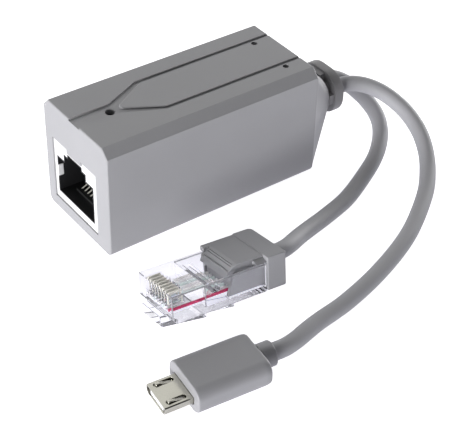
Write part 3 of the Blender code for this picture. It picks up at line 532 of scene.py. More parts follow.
@dataclass(frozen=True)
class Finish:
    """A surface finish: colour with a soft mottle, and a fine grain in the relief and the gloss."""

    name: str
    colour: Colour
    roughness: float
    grain: float = 0.00030
    relief: float = 0.000010
    mottle: float = 0.04
    patch: float = 0.006
    gloss_spread: float = 0.06

    def build(self) -> bpy.types.Material:
        """Builds the material's nodes.

        Returns:
            The material.
        """
        made = bpy.data.materials.new(self.name)
        made.use_nodes = True
        shader = made.node_tree.nodes["Principled BSDF"]
        place = made.node_tree.nodes.new("ShaderNodeTexCoord").outputs["Object"]
        self.paint(made.node_tree, shader, place)
        self.roughen(made.node_tree, shader, place)
        self.emboss(made.node_tree, shader, place)
        self.tune(shader)
        return made

    def noise(self, tree: bpy.types.NodeTree, place: bpy.types.NodeSocket, size: float, detail: float = 3.0,
              ) -> bpy.types.NodeSocket:
        """Adds a noise of a given size.

        Args:
            tree: the node tree.
            place: the coordinates that it reads.
            size: size of its patches, in metres.
            detail: how many finer layers it has.

        Returns:
            The noise's value.
        """
        node = tree.nodes.new("ShaderNodeTexNoise")
        node.inputs["Scale"].default_value = 1.0 / size
        node.inputs["Detail"].default_value = detail
        tree.links.new(place, node.inputs["Vector"])
        return node.outputs["Fac"]

    def spread(self, tree: bpy.types.NodeTree, value: bpy.types.NodeSocket, low: float, high: float,
               ) -> bpy.types.NodeSocket:
        """Maps a noise's middle range to two numbers.

        Args:
            tree: the node tree.
            value: the noise's value.
            low: what the range starts with.
            high: what it ends with.

        Returns:
            The mapped value.
        """
        node = tree.nodes.new("ShaderNodeMapRange")
        node.inputs["From Min"].default_value, node.inputs["From Max"].default_value = NOISE_RANGE
        node.inputs["To Min"].default_value = low
        node.inputs["To Max"].default_value = high
        tree.links.new(value, node.inputs["Value"])
        return node.outputs["Result"]

    def paint(self, tree: bpy.types.NodeTree, shader: bpy.types.Node, place: bpy.types.NodeSocket) -> None:
        """Colours the surface, a little darker and lighter in soft patches.

        Args:
            tree: the node tree.
            shader: the surface's shader.
            place: the coordinates that the patches read.
        """
        ramp = tree.nodes.new("ShaderNodeValToRGB")
        for stop, share in ((0, 1.0 - self.mottle), (1, 1.0 + self.mottle)):
            ramp.color_ramp.elements[stop].position = NOISE_RANGE[stop]
            ramp.color_ramp.elements[stop].color = (*(min(1.0, c * share) for c in self.colour), 1.0)
        tree.links.new(self.noise(tree, place, self.patch), ramp.inputs["Fac"])
        tree.links.new(ramp.outputs["Color"], shader.inputs["Base Color"])

    def roughen(self, tree: bpy.types.NodeTree, shader: bpy.types.Node, place: bpy.types.NodeSocket) -> None:
        """Varies the gloss in small patches.

        Args:
            tree: the node tree.
            shader: the surface's shader.
            place: the coordinates that the patches read.
        """
        low, high = self.roughness - self.gloss_spread / 2, self.roughness + self.gloss_spread / 2
        value = self.spread(tree, self.noise(tree, place, self.patch / 4), max(0.0, low), high)
        tree.links.new(value, shader.inputs["Roughness"])

    def emboss(self, tree: bpy.types.NodeTree, shader: bpy.types.Node, place: bpy.types.NodeSocket) -> None:
        """Adds the fine grain as relief.

        Args:
            tree: the node tree.
            shader: the surface's shader.
            place: the coordinates that the grain reads.
        """
        bump = tree.nodes.new("ShaderNodeBump")
        bump.inputs["Strength"].default_value = 1.0
        bump.inputs["Distance"].default_value = self.relief
        tree.links.new(self.noise(tree, place, self.grain, 2.0), bump.inputs["Height"])
        tree.links.new(bump.outputs["Normal"], shader.inputs["Normal"])

    def tune(self, shader: bpy.types.Node) -> None:
        """Sets the values that are the same all over; other finishes add their own."""


@dataclass(frozen=True)
class Metal(Finish):
    """A plated metal."""

    bare: float = 1.0

    def tune(self, shader: bpy.types.Node) -> None:
        """Makes the surface a metal."""
        shader.inputs["Metallic"].default_value = self.bare


@dataclass(frozen=True)
class Glossy(Finish):
    """A smooth moulding with a thin clear gloss."""

    coat: float = 0.3
    coat_roughness: float = 0.08

    def tune(self, shader: bpy.types.Node) -> None:
        """Adds the gloss."""
        shader.inputs["Coat Weight"].default_value = self.coat
        shader.inputs["Coat Roughness"].default_value = self.coat_roughness


@dataclass(frozen=True)
class Clear(Finish):
    """A clear moulding that light passes through."""

    bend: float = 1.5
    through: float = 1.0

    def tune(self, shader: bpy.types.Node) -> None:
        """Lets light through."""
        shader.inputs["Transmission Weight"].default_value = self.through
        shader.inputs["IOR"].default_value = self.bend


class Finishes:
    """Every finish of the splitter, each built once."""

    def __init__(self) -> None:
        """Builds the materials."""
        self.housing = Finish("housing_plastic", (0.345, 0.345, 0.357), 0.45, mottle=0.015,
                              patch=0.009).build()
        self.boot = Finish("boot_plastic", (0.325, 0.325, 0.342), 0.45, relief=0.000006, mottle=0.02).build()
        self.sheath = Finish("sheath_plastic", (0.39, 0.39, 0.41), 0.62, relief=0.000005, mottle=0.02).build()
        self.relief = Finish("relief_plastic", (0.265, 0.26, 0.267), 0.50, relief=0.000006,
                             mottle=0.02).build()
        self.white = Finish("white_plastic", (0.80, 0.80, 0.80), 0.35, relief=0.000003, mottle=0.02).build()
        self.black = Glossy("black_plastic", (0.010, 0.010, 0.011), 0.45, relief=0.000003, coat=0.0).build()
        self.gold = Metal("gold_plate", (0.88, 0.86, 0.77), 0.35, relief=0.000002, patch=0.002,
                          bare=0.5).build()
        self.nickel = Metal("nickel_plate", (0.52, 0.51, 0.45), 0.22, relief=0.000002, patch=0.003).build()
        self.clear = Clear("clear_plastic", (0.955, 0.955, 0.975), 0.02, relief=0.0000006, mottle=0.004,
                           gloss_spread=0.02, bend=1.12).build()
        # Painted shade: a grey, mostly opaque clear finish for the plug's edge roundings, which draws dark
        # lines along its edges
        self.clear_edge_painted_shade = Clear("clear_plastic_edge_painted_shade", (0.38, 0.38, 0.41), 0.30, relief=0.0000006, mottle=0.02,
                                bend=1.12, through=0.20).build()
        # Painted highlight: a paler, mostly opaque finish for the edge roundings at the plug's rear, which
        # draws light lines there
        self.clear_rim_painted_highlight = Clear("clear_plastic_rim_painted_highlight", (0.80, 0.80, 0.83), 0.30, relief=0.0000006, mottle=0.02,
                               bend=1.12, through=0.20).build()
        self.board = Glossy("board_mask", (0.02, 0.15, 0.07), 0.40, coat=0.4).build()
        self.resin = Finish("black_resin", (0.02, 0.02, 0.021), 0.55).build()
        self.ferrite = Finish("ferrite_grey", (0.05, 0.05, 0.055), 0.6, relief=0.00002).build()
        self.tape = Glossy("winding_tape", (0.62, 0.45, 0.06), 0.4).build()
        self.sleeve = Glossy("capacitor_sleeve", (0.02, 0.03, 0.10), 0.35).build()
        self.lamp = Glossy("lamp_lens", (0.10, 0.40, 0.12), 0.25).build()
        self.wires = {
            "wire_red": Glossy("wire_red", (0.50, 0.015, 0.10), 0.35, mottle=0.05).build(),
            "wire_white": Glossy("wire_white", (0.97, 0.95, 0.96), 0.35, mottle=0.02).build(),
            "wire_green": Glossy("wire_green", (0.82, 0.93, 0.90), 0.35, mottle=0.04).build(),
            "wire_ivory": Glossy("wire_ivory", (0.97, 0.95, 0.93), 0.35, mottle=0.02).build(),
        }


def dress(item: bpy.types.Object, *finishes: bpy.types.Material) -> bpy.types.Object:
    """Gives a piece its materials; its faces keep the slots that they have.

    Args:
        item: the piece.
        finishes: its materials, in the order of its slots.

    Returns:
        The same piece.
    """
    slots = [face.material_index for face in item.data.polygons] if item.type == "MESH" else []
    item.data.materials.clear()
    for finish in finishes:
        item.data.materials.append(finish)
    for face, slot in zip(item.data.polygons if slots else [], slots):
        face.material_index = min(slot, len(finishes) - 1)
    return item


def mount(item: bpy.types.Object, finish: bpy.types.Material | tuple[bpy.types.Material, ...], slot: str,
          *nodes: str) -> bpy.types.Object:
    """Dresses a finished piece and sets it in place of its CAD nodes.

    Args:
        item: the piece.
        finish: its material, or its materials in the order of its slots.
        slot: the record's slot of the piece; not used.
        nodes: the CAD nodes that it stands for.

    Returns:
        The same piece.
    """
    dress(item, *(finish if isinstance(finish, tuple) else (finish,)))
    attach(item, BODY)
    if nodes:
        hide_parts(*nodes)
    LOG.info("%s: %s", item.name, ", ".join(nodes) or "added")
    return item


# Stage


@dataclass
class Stage:
    """The floor, the surroundings, the lamps and the camera."""

    camera_place: Point3 = (-0.13189, -0.18588, 0.17010)
    camera_azimuth: float = -37.372
    camera_elevation: float = 38.506
    camera_roll: float = 1.679
    focal_pixels: float = 1369.4
    image_width_pixels: float = 475.0
    sensor_width_mm: float = 36.0
    nearest_seen: float = 0.005
    floor_span: float = 3.0
    floor_colour: Colour = (0.88, 0.88, 0.90)
    floor_glow: float = 0.85
    fill_colour: Colour = (0.92, 0.91, 1.0)
    fill_strength: float = 0.62
    sky_range: Point2 = (-0.15, 0.7)
    sky_strengths: Point2 = (0.06, 1.50)
    aim: Point3 = (0.0, -0.01, 0.01)

    def build(self) -> None:
        """Sets up everything round the splitter."""
        bpy.context.scene.view_settings.view_transform = "Standard"
        self.aim_camera()
        self.lay_floor()
        self.light_world()
        self.lamp("key", (-0.62, -0.26, 0.055), (0.50, 0.11), 5.0)
        self.lamp("rim", (0.60, 0.12, 0.10), (0.30, 0.15), 2.4)

    def aim_camera(self) -> None:
        """Places the camera where the photograph was taken from."""
        data = bpy.data.cameras.new("camera")
        data.sensor_width = self.sensor_width_mm
        data.lens = self.focal_pixels / self.image_width_pixels * self.sensor_width_mm
        data.clip_start = self.nearest_seen
        item = bpy.data.objects.new("camera", data)
        bpy.context.scene.collection.objects.link(item)
        item.matrix_world = (
            Matrix.Translation(self.camera_place)
            @ Matrix.Rotation(math.radians(self.camera_azimuth), 4, "Z")
            @ Matrix.Rotation(math.radians(90.0 - self.camera_elevation), 4, "X")
            @ Matrix.Rotation(math.radians(self.camera_roll), 4, "Z")
        )
        bpy.context.scene.camera = item

    def seen_directly(self, tree: bpy.types.NodeTree, *others: str) -> bpy.types.NodeSocket:
        """Adds nodes that tell whether a ray shows the background as such.

        Args:
            tree: the node tree.
            others: the light path's outputs that count besides the camera's rays.

        Returns:
            1 for those rays, otherwise 0.
        """
        path = tree.nodes.new("ShaderNodeLightPath")
        total = path.outputs["Is Camera Ray"]
        for other in others:
            node = tree.nodes.new("ShaderNodeMath")
            node.operation = "MAXIMUM"
            tree.links.new(total, node.inputs[0])
            tree.links.new(path.outputs[other], node.inputs[1])
            total = node.outputs["Value"]
        return total

    def lay_floor(self) -> None:
        """Lays a pale floor that shows white and keeps a soft shadow."""
        bpy.ops.mesh.primitive_plane_add(size=self.floor_span)
        floor = settle(bpy.context.object, "floor")
        made = bpy.data.materials.new("floor_paper")
        made.use_nodes = True
        tree = made.node_tree
        shader = tree.nodes["Principled BSDF"]
        shader.inputs["Base Color"].default_value = (*self.floor_colour, 1.0)
        shader.inputs["Roughness"].default_value = 0.9
        shader.inputs["Specular IOR Level"].default_value = 0.1
        glow = tree.nodes.new("ShaderNodeEmission")
        glow.inputs["Strength"].default_value = self.floor_glow
        fill = tree.nodes.new("ShaderNodeEmission")
        fill.inputs["Color"].default_value = (*self.fill_colour, 1.0)
        fill.inputs["Strength"].default_value = self.fill_strength
        choose = tree.nodes.new("ShaderNodeMixShader")
        total = tree.nodes.new("ShaderNodeAddShader")
        tree.links.new(self.seen_directly(tree), choose.inputs["Fac"])
        tree.links.new(fill.outputs["Emission"], choose.inputs[1])
        tree.links.new(glow.outputs["Emission"], choose.inputs[2])
        tree.links.new(shader.outputs["BSDF"], total.inputs[0])
        tree.links.new(choose.outputs["Shader"], total.inputs[1])
        tree.links.new(total.outputs["Shader"], tree.nodes["Material Output"].inputs["Surface"])
        dress(floor, made)

    def light_world(self) -> None:
        """Surrounds the splitter with light that is soft behind it and dim on the camera's side."""
        world = bpy.data.worlds.new("studio")
        bpy.context.scene.world = world
        world.use_nodes = True
        tree = world.node_tree
        backdrop = tree.nodes["Background"]
        backdrop.inputs["Color"].default_value = (1.0, 1.0, 1.0, 1.0)
        room = tree.nodes.new("ShaderNodeBackground")
        split = tree.nodes.new("ShaderNodeSeparateXYZ")
        tree.links.new(tree.nodes.new("ShaderNodeTexCoord").outputs["Generated"], split.inputs["Vector"])
        ramp = tree.nodes.new("ShaderNodeMapRange")
        ramp.inputs["From Min"].default_value, ramp.inputs["From Max"].default_value = self.sky_range
        ramp.inputs["To Min"].default_value, ramp.inputs["To Max"].default_value = self.sky_strengths
        tree.links.new(split.outputs["Y"], ramp.inputs["Value"])
        tree.links.new(ramp.outputs["Result"], room.inputs["Strength"])
        choose = tree.nodes.new("ShaderNodeMixShader")
        tree.links.new(self.seen_directly(tree, "Is Transmission Ray"), choose.inputs["Fac"])
        tree.links.new(room.outputs["Background"], choose.inputs[1])
        tree.links.new(backdrop.outputs["Background"], choose.inputs[2])
        tree.links.new(choose.outputs["Shader"], tree.nodes["World Output"].inputs["Surface"])

    def lamp(self, name: str, place: Point3, size: Point2, watts: float) -> None:
        """Adds a soft lamp aimed at the splitter.

        Args:
            name: the lamp's name.
            place: where it stands.
            size: its width and its height.
            watts: its power.
        """
        data = bpy.data.lights.new(name, "AREA")
        data.shape = "RECTANGLE"
        data.size, data.size_y = size
        data.energy = watts
        item = bpy.data.objects.new(name, data)
        item.location = place
        item.rotation_euler = (Vector(self.aim) - Vector(place)).to_track_quat("-Z", "Y").to_euler()
        bpy.context.scene.collection.objects.link(item)


# Leads


@dataclass
class Lead:
    """One lead: a round sheath on a given route."""

    name: str
    route: Sequence[Point3]
    diameter: float = 0.0034
    points: int = 140
    sunk: float = 0.0005

    def sunk_route(self) -> list[Point3]:
        """Carries both ends of the route on into the sockets of what they join.

        Returns:
            The longer route.
        """
        stations = [Vector(point) for point in self.route]
        start = stations[0] + (stations[0] - stations[1]).normalized() * self.sunk
        end = stations[-1] + (stations[-1] - stations[-2]).normalized() * self.sunk
        return [tuple(start), *self.route, tuple(end)]

    def build(self, finishes: Finishes, far_end: str, with_pieces: Sequence[str]) -> bpy.types.Object:
        """Args:
            finishes: the splitter's finishes.
            far_end: what is on its end; not used.
            with_pieces: the pieces that lie on it; not used.

        Returns:
            The lead.
        """
        line = smooth_path(self.sunk_route(), self.points)
        item = tube(f"{self.name}_sheath", line, self.diameter)
        mount(item, finishes.sheath, "grey_sheath", self.name)
        return item


def socket(x: float, y: float, z: float) -> bpy.types.Object:
    """Makes the cutter of the socket that a lead's end is sunk in, centred on a point."""
    return rod("socket", (x, y, z), Lead.diameter / 2 + SNUG, PAST, "X")


# Housing


@dataclass
class Housing:
    """The grey moulding: box, dome, panel, window and holes."""

    finishes: Finishes
    box_length: float = 0.0495
    wall: float = 0.0016
    front_wall: float = 0.0018
    chamfer: float = 0.0018
    fillet: float = 0.0014
    dome_width: float = 0.0112
    dome_height: float = 0.0086
    dome_radius: float = 0.0036
    dome_middle: float = 0.0110
    side_curve: float = 0.90
    top_curve: float = 0.75
    bottom_curve: float = 1.30
    dome_steps: int = 14
    hollow_steps: int = 9
    hollow_shift: float = 0.6
    chamfer_profile: float = 0.25
    round_profile: float = 0.5
    profile_speed: float = 6.0
    recess: float = 0.0004
    channel_half: float = 0.0019
    channel_length: float = 0.0088
    surround_half: float = 0.0057
    surround_start: float = 0.0172
    groove: float = 0.0009
    groove_lap: float = 0.35
    panel_nose: float = 0.0101
    panel_nose_radius: float = 0.0009
    panel_rounding: float = 0.00030
    lamp_hole_radius: float = 0.00095
    lamp_hole_rim: float = 0.00032
    lamp_hole_from_front: float = 0.0080
    vent_radius: float = 0.00065
    vent_from_rear: float = 0.0044
    vent_places: Point2 = (0.0040, -0.0065)
    hole_depth: float = 0.008
    front_rounding: float = 0.0003
    shoulder_rounding: float = 0.0002
    edge_rounding: float = 0.00013

    def __post_init__(self) -> None:
        """Reads the housing's corners from the frame."""
        low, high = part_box("housing")
        self.front, self.end = low.x, high.x
        self.width, self.height = high.y - low.y, high.z
        self.rear = self.front + self.box_length

    def build(self) -> bpy.types.Object:
        """Builds the housing in place of its solid.

        Returns:
            The housing.
        """
        skin = self.make_skin()
        cut(skin, *self.inner_space(), self.window(), self.panel_recess(), *self.holes())
        self.soften_panel(skin)
        ease_edges(skin, self.edge_rounding, 2, 38.0)
        smooth(skin, 32.0)
        return mount(skin, self.finishes.housing, "grey_moulding", "housing")

    def section(self, x: float, along: float, inset: float = 0.0) -> Section:
        """The housing's section a share of the way along the dome.

        Args:
            x: where the section lies.
            along: 0 where the dome starts, 1 at its end.
            inset: how far the section lies inside the skin.

        Returns:
            The section.
        """
        side = along ** self.side_curve
        high = between(self.height, self.dome_middle + self.dome_height / 2, along ** self.top_curve) - inset
        low = between(0.0, self.dome_middle - self.dome_height / 2, along ** self.bottom_curve) + inset
        return Section(
            x,
            between(self.width, self.dome_width, side) - 2 * inset,
            high - low,
            between(self.chamfer, self.dome_radius, side),
            between(self.fillet, self.dome_radius, side),
            (high + low) / 2,
            between(self.chamfer_profile, self.round_profile, min(1.0, along * self.profile_speed)),
        )

    def make_skin(self) -> bpy.types.Object:
        """Lofts the box and the dome, and rounds the front's outline and the rear shoulder.

        Returns:
            The closed skin.
        """
        sections = [self.section(self.front, 0.0)]
        for i in range(self.dome_steps + 1):
            along = i / self.dome_steps
            sections.append(self.section(between(self.rear, self.end, along), along))
        skin = loft("housing_shell", sections)
        with editing(skin):
            pick(skin, Pick.EDGES, lambda point: abs(point.x - self.front) < TINY)
            bpy.ops.mesh.bevel(offset=self.front_rounding, segments=3, affect="EDGES")
            pick(skin, Pick.EDGES, lambda point: abs(point.x - self.rear) < TINY)
            bpy.ops.mesh.bevel(offset=self.shoulder_rounding, segments=3, affect="EDGES")
        return skin

    def inner_space(self) -> list[bpy.types.Object]:
        """Makes the cutters of the hollow and of the way out for the strain relief.

        Returns:
            The cutters.
        """
        half = self.width / 2 - self.wall
        hollow = block("hollow", (self.front + self.front_wall, -half, -PAST),
                       (self.rear - self.wall, half, self.height - self.wall))
        rings = [self.section(self.rear - 2 * self.wall, 0.0, self.wall)]
        for i in range(1, self.hollow_steps):
            along = i / self.hollow_steps
            x = between(self.rear, self.end, along) - self.wall * self.hollow_shift
            rings.append(self.section(x, along, self.wall))
        relief = StrainRelief(self.finishes)
        exit_hole = loft("exit_hole", [
            Section(x, relief.core_width + 2 * GAP, relief.core_height + 2 * GAP, relief.core_corner,
                    relief.core_corner, self.dome_middle)
            for x in (self.rear - self.wall, self.end + PAST)])
        return [hollow, loft("dome_hollow", rings), exit_hole]

    def window(self) -> bpy.types.Object:
        """Makes the cutter of the window in the front face, with the tongue that hangs from its top."""
        return outline_block("window", JackSizes().window_outline(), self.front - PAST,
                             self.front + self.front_wall + PAST, Plane.END)

    def panel_recess(self) -> bpy.types.Object:
        """Makes the cutter of the sunk channel and surround, which leave the pointed panel standing.

        Returns:
            The cutter.
        """
        inner = self.surround_half - self.groove
        tip = self.front + self.panel_nose
        slope = math.degrees(math.atan2(
            self.surround_half - self.channel_half, self.surround_start - self.channel_length))
        radius = self.panel_nose_radius
        start = 90.0 + slope
        nose = arc((tip + radius, 0.0), radius, start, 360.0 - start, 8)
        side = [
            (self.front - PAST, self.channel_half),
            (self.front + self.channel_length, self.channel_half),
            (self.front + self.surround_start, self.surround_half),
            (self.rear + PAST, self.surround_half),
            (self.rear + PAST, inner),
            (self.front + self.surround_start + self.groove * self.groove_lap, inner),
        ]
        outline = side + nose + [(x, -y) for x, y in reversed(side)]
        return outline_block("recess", outline, self.height - self.recess, self.height + PAST)

    def on_nose(self, point: Vector) -> bool:
        """Says whether a point lies on the top edges of the panel's pointed end.

        Args:
            point: the middle of an edge.

        Returns:
            Whether it does.
        """
        tip = self.front + self.panel_nose
        lean = (self.surround_half - self.channel_half) / (self.surround_start - self.channel_length)
        reach = self.channel_half + (point.x - self.front - self.channel_length) * lean - self.groove / 2
        return (point.z > self.height - TINY and tip - TINY < point.x < self.front + self.surround_start
                and abs(point.y) < reach)

    def soften_panel(self, skin: bpy.types.Object) -> None:
        """Rounds the top edges of the panel's pointed end.

        Args:
            skin: the housing's skin.
        """
        with editing(skin):
            pick(skin, Pick.EDGES, self.on_nose)
            bpy.ops.mesh.bevel(offset=self.panel_rounding, segments=3, affect="EDGES")

    def holes(self) -> list[bpy.types.Object]:
        """Makes the cutters of the lamp hole, its rim and the two small holes at the rear.

        Returns:
            The cutters.
        """
        at = self.rear - self.vent_from_rear
        level = self.height
        lamp = self.front + self.lamp_hole_from_front
        found = [rod("lamp_hole", (lamp, 0.0, level), self.lamp_hole_radius, self.hole_depth)]
        rim = self.lamp_hole_rim
        bpy.ops.mesh.primitive_cone_add(
            vertices=48, radius1=self.lamp_hole_radius, radius2=self.lamp_hole_radius + 2 * rim, depth=rim,
            location=(lamp, 0.0, level - self.recess))
        found.append(settle(bpy.context.object, "lamp_rim"))
        for y in self.vent_places:
            found.append(rod("vent", (at, y, level), self.vent_radius, self.hole_depth, sides=32))
        return found


# Jack


@dataclass(frozen=True)
class JackSizes:
    """Sizes of the jack, shared by the housing's window, the bezel and the black body."""

    offset: float = 0.0012
    window_offset: float = 0.0009
    mouth_width: float = 0.0128
    mouth_height: float = 0.0081
    mouth_bottom: float = 0.0045
    step_width: float = 0.0076
    step_height: float = 0.0016
    key_width: float = 0.0048
    key_height: float = 0.0008
    beside: float = 0.00155
    below: float = 0.0019
    above: float = 0.0018
    tongue_width: float = 0.0051
    tongue_drop: float = 0.0009
    liner: float = 0.0002

    @property
    def mouth_top(self) -> float:
        """Height of the top of the mouth."""
        return self.mouth_bottom + self.mouth_height + self.step_height + self.key_height

    def mouth_outline(self, grow: float = 0.0) -> list[Point2]:
        """Outline of the mouth.

        Args:
            grow: how far it is grown all round.

        Returns:
            Its corners.
        """
        base, shoulder = self.mouth_bottom - grow, self.mouth_bottom + self.mouth_height + grow
        half, step, key = (width / 2 + grow for width in (self.mouth_width, self.step_width, self.key_width))
        top = shoulder + self.step_height
        side = [(half, base), (half, shoulder), (step, shoulder), (step, top), (key, top),
                (key, top + self.key_height)]
        outline = [(self.offset + y, z) for y, z in side]
        return outline + [(self.offset - y, z) for y, z in reversed(side)]

    def window_outline(self, clear: float = 0.0) -> list[Point2]:
        """Outline of the window.

        Args:
            clear: how far it is drawn in all round.

        Returns:
            Its corners.
        """
        half = self.mouth_width / 2 + self.beside - clear
        low, top = self.mouth_bottom - self.below + clear, self.mouth_top + self.above - clear
        tongue = self.tongue_width / 2 + clear
        drop = top - self.tongue_drop
        side = [(half, low), (half, top), (tongue, top), (tongue, drop)]
        outline = [(self.window_offset + y, z) for y, z in side]
        return outline + [(self.window_offset - y, z) for y, z in reversed(side)]


@dataclass
class Jack:
    """The network jack: bezel, body and spring wires."""

    finishes: Finishes
    sizes: JackSizes = JackSizes()
    face_set_back: float = 0.0003
    bezel_depth: float = 0.0022
    cavity: float = 0.0112
    notch_low: float = 0.42
    seam: float = 0.00003
    notch_height: float = 0.0026
    notch_depth: float = 0.0011
    wire_count: int = 8
    wire_pitch: float = 0.00105
    wire_diameter: float = 0.00027
    sill_set_back: float = 0.0026
    sill_depth: float = 0.0012
    sill_height: float = 0.00055
    comb_set_back: float = 0.0046
    comb_height: float = 0.0040
    comb_slot: float = 0.00050
    comb_slot_height: float = 0.01
    comb_margin: float = 0.4
    wire_foot: float = 0.0010
    wire_lift: float = 0.0004
    wire_bow: float = 0.0006
    wire_ramp: float = 0.62
    wire_points: int = 24
    bezel_rounding: float = 0.00005
    body_rounding: float = 0.00006

    def __post_init__(self) -> None:
        """Reads where the jack's face lies from the frame."""
        self.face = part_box("housing")[0].x + self.face_set_back

    def build(self) -> None:
        """Builds every piece of the jack."""
        self.make_bezel()
        self.make_body()
        self.make_wires()

    def make_bezel(self) -> None:
        """Makes the white frame in the window."""
        sizes = self.sizes
        rear = self.face + self.bezel_depth
        bezel = outline_block("bezel", sizes.window_outline(self.seam), self.face, rear, Plane.END)
        throat = sizes.mouth_outline(sizes.liner + FINE_GAP)
        cut(bezel, outline_block("throat", throat, self.face - PAST, rear + PAST, Plane.END))
        side = sizes.offset + sizes.mouth_width / 2
        low = sizes.mouth_bottom + sizes.mouth_height * self.notch_low
        tab = block("tab", (self.face, side, low),
                    (self.face + self.notch_depth, side + 2 * sizes.liner, low + self.notch_height))
        fuse(bezel, tab)
        ease_edges(bezel, self.bezel_rounding, 2)
        smooth(bezel)
        mount(bezel, self.finishes.white, "white_moulding", "jack_bezel")

    def make_body(self) -> None:
        """Makes the black moulding with the mouth and the cavity behind it."""
        sizes = self.sizes
        low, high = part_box("jack_body")
        behind = self.face + self.bezel_depth + GAP
        body = outline_block("socket", sizes.mouth_outline(sizes.liner), self.face,
                             self.face + self.bezel_depth + 2 * GAP, Plane.END)
        fuse(body, block("socket_block", (behind, low.y, low.z), (high.x, high.y, high.z)))
        side = sizes.offset + sizes.mouth_width / 2
        notch = sizes.mouth_bottom + sizes.mouth_height * self.notch_low
        cut(body,
            outline_block("cavity", sizes.mouth_outline(), self.face - PAST, self.face + self.cavity,
                          Plane.END),
            block("notch", (self.face - PAST, side - sizes.liner, notch - FINE_GAP),
                  (self.face + self.notch_depth + FINE_GAP, side + 2 * sizes.liner,
                   notch + self.notch_height + FINE_GAP)))
        half = (self.wire_count + self.comb_margin) / 2 * self.wire_pitch
        sill = self.face + self.sill_set_back
        fuse(body, self.make_comb(half),
             block("sill", (sill, sizes.offset - half, sizes.mouth_bottom - GAP / 3),
                   (sill + self.sill_depth, sizes.offset + half, sizes.mouth_bottom + self.sill_height)))
        ease_edges(body, self.body_rounding, 2)
        smooth(body)
        mount(body, self.finishes.black, "black_moulding", "jack_body")

    def make_comb(self, half: float) -> bpy.types.Object:
        """Makes the comb on the mouth's floor that holds the spring wires apart.

        Args:
            half: half its width.

        Returns:
            The comb.
        """
        sizes = self.sizes
        start, end = self.face + self.comb_set_back, self.face + self.cavity + GAP
        floor = sizes.mouth_bottom
        comb = block("comb", (start, sizes.offset - half, floor - GAP / 2),
                     (end, sizes.offset + half, floor + self.comb_height))
        for i in range(self.wire_count):
            y = sizes.offset + (i - (self.wire_count - 1) / 2) * self.wire_pitch
            cut(comb, block("comb_slot", (start - PAST, y - self.comb_slot / 2, floor),
                            (end - GAP, y + self.comb_slot / 2, floor + self.comb_slot_height)))
        return comb

    def make_wires(self) -> None:
        """Makes the eight spring wires, each in the place of its solid."""
        for i in range(self.wire_count):
            low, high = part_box(f"jack_contact_{i + 1}")
            y = (low.y + high.y) / 2
            radius = self.wire_diameter / 2
            bottom, top = low.z + radius, high.z - radius
            ramp = low.x + (high.x - low.x) * self.wire_ramp
            line = smooth_path([(low.x, y, bottom), (low.x + self.wire_foot, y, bottom + self.wire_lift),
                                (ramp, y, top - self.wire_bow), (high.x, y, top)], self.wire_points)
            item = wire(f"spring_wire_{i + 1}", line, self.wire_diameter)
            mount(item, self.finishes.gold, "gold_plating", f"jack_contact_{i + 1}")


# Strain relief


@dataclass
class StrainRelief:
    """The soft moulding round both leads where they leave the dome."""

    finishes: Finishes
    core_width: float = 0.0084
    core_height: float = 0.0054
    core_lap: float = 0.0008
    corner_share: float = 0.45
    neck_length: float = 0.0016
    flange_width: float = 0.0118
    flange_height: float = 0.0098
    flange_radius: float = 0.0044
    bridge_across: float = 0.0035
    bridge_up: float = 0.0021
    bridge_inset: float = 0.0005
    bridge_lap: float = 0.0004
    rim: float = 0.00030
    rim_share: float = 0.3
    edge_rounding: float = 0.00008

    @property
    def core_corner(self) -> float:
        """Radius of the core's corners."""
        return self.core_height * self.corner_share

    def build(self) -> bpy.types.Object:
        """Builds the strain relief in place of its solid.

        Returns:
            The strain relief.
        """
        low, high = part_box("strain_relief")
        middle = (low.z + high.z) / 2
        dome_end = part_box("housing")[1].x
        start = dome_end + self.neck_length
        core = loft("strain_relief_sleeve", [
            Section(x, self.core_width, self.core_height, self.core_corner, self.core_corner, middle)
            for x in (low.x, start + self.core_lap)])
        part = self.rim * self.rim_share
        flange = loft("flange", [
            Section(x, self.flange_width - 2 * trim, self.flange_height - 2 * trim, self.flange_radius - trim,
                    self.flange_radius - trim, middle)
            for x, trim in ((start, self.rim), (start + part, part), (start + self.rim, 0.0),
                            (high.x - self.rim, 0.0), (high.x - part, part), (high.x, self.rim))])
        bridges = outline_block("bridges", self.bridge_outline(middle), dome_end + GAP,
                                start + self.bridge_lap, Plane.END)
        fuse(core, flange, bridges)
        for route in (DATA_ROUTE, POWER_ROUTE):
            cut(core, socket(high.x, route[0][1], route[0][2]))
        ease_edges(core, self.edge_rounding, 2, 50.0)
        smooth(core, 40.0)
        return mount(core, self.finishes.relief, "soft_grey_moulding", "strain_relief")

    def bridge_outline(self, middle: float) -> list[Point2]:
        """Outline of the cross of four bridges that leaves a slot at each corner of the flange.

        Args:
            middle: the height of its middle.

        Returns:
            Its corners.
        """
        half = self.flange_width / 2 - self.bridge_inset
        rise = self.flange_height / 2 - self.bridge_inset
        across, up = self.bridge_across / 2, self.bridge_up / 2
        quarter = [(half, up), (across, up), (across, rise)]
        upper = quarter + [(-y, z) for y, z in reversed(quarter)]
        outline = upper + [(-y, -z) for y, z in upper]
        return [(y, middle + z) for y, z in outline]


# Plugs


@dataclass
class Plug:
    """What both plugs share: their pieces are made in the plug's own frame and then laid in place."""

    finishes: Finishes
    place: Point3
    turn: Point3

    def frame(self) -> Matrix:
        """Says where the plug lies.

        Returns:
            The move from the plug's own frame to the splitter's.
        """
        roll, pitch, yaw = (math.radians(angle) for angle in self.turn)
        turn = Matrix.Rotation(yaw, 4, "Z") @ Matrix.Rotation(pitch, 4, "Y") @ Matrix.Rotation(roll, 4, "X")
        return Matrix.Translation(self.place) @ turn

    def lay(self, item: bpy.types.Object) -> bpy.types.Object:
        """Moves a piece from the plug's own frame to where the plug lies."""
        item.data.transform(self.frame())
        return item


# Network plug


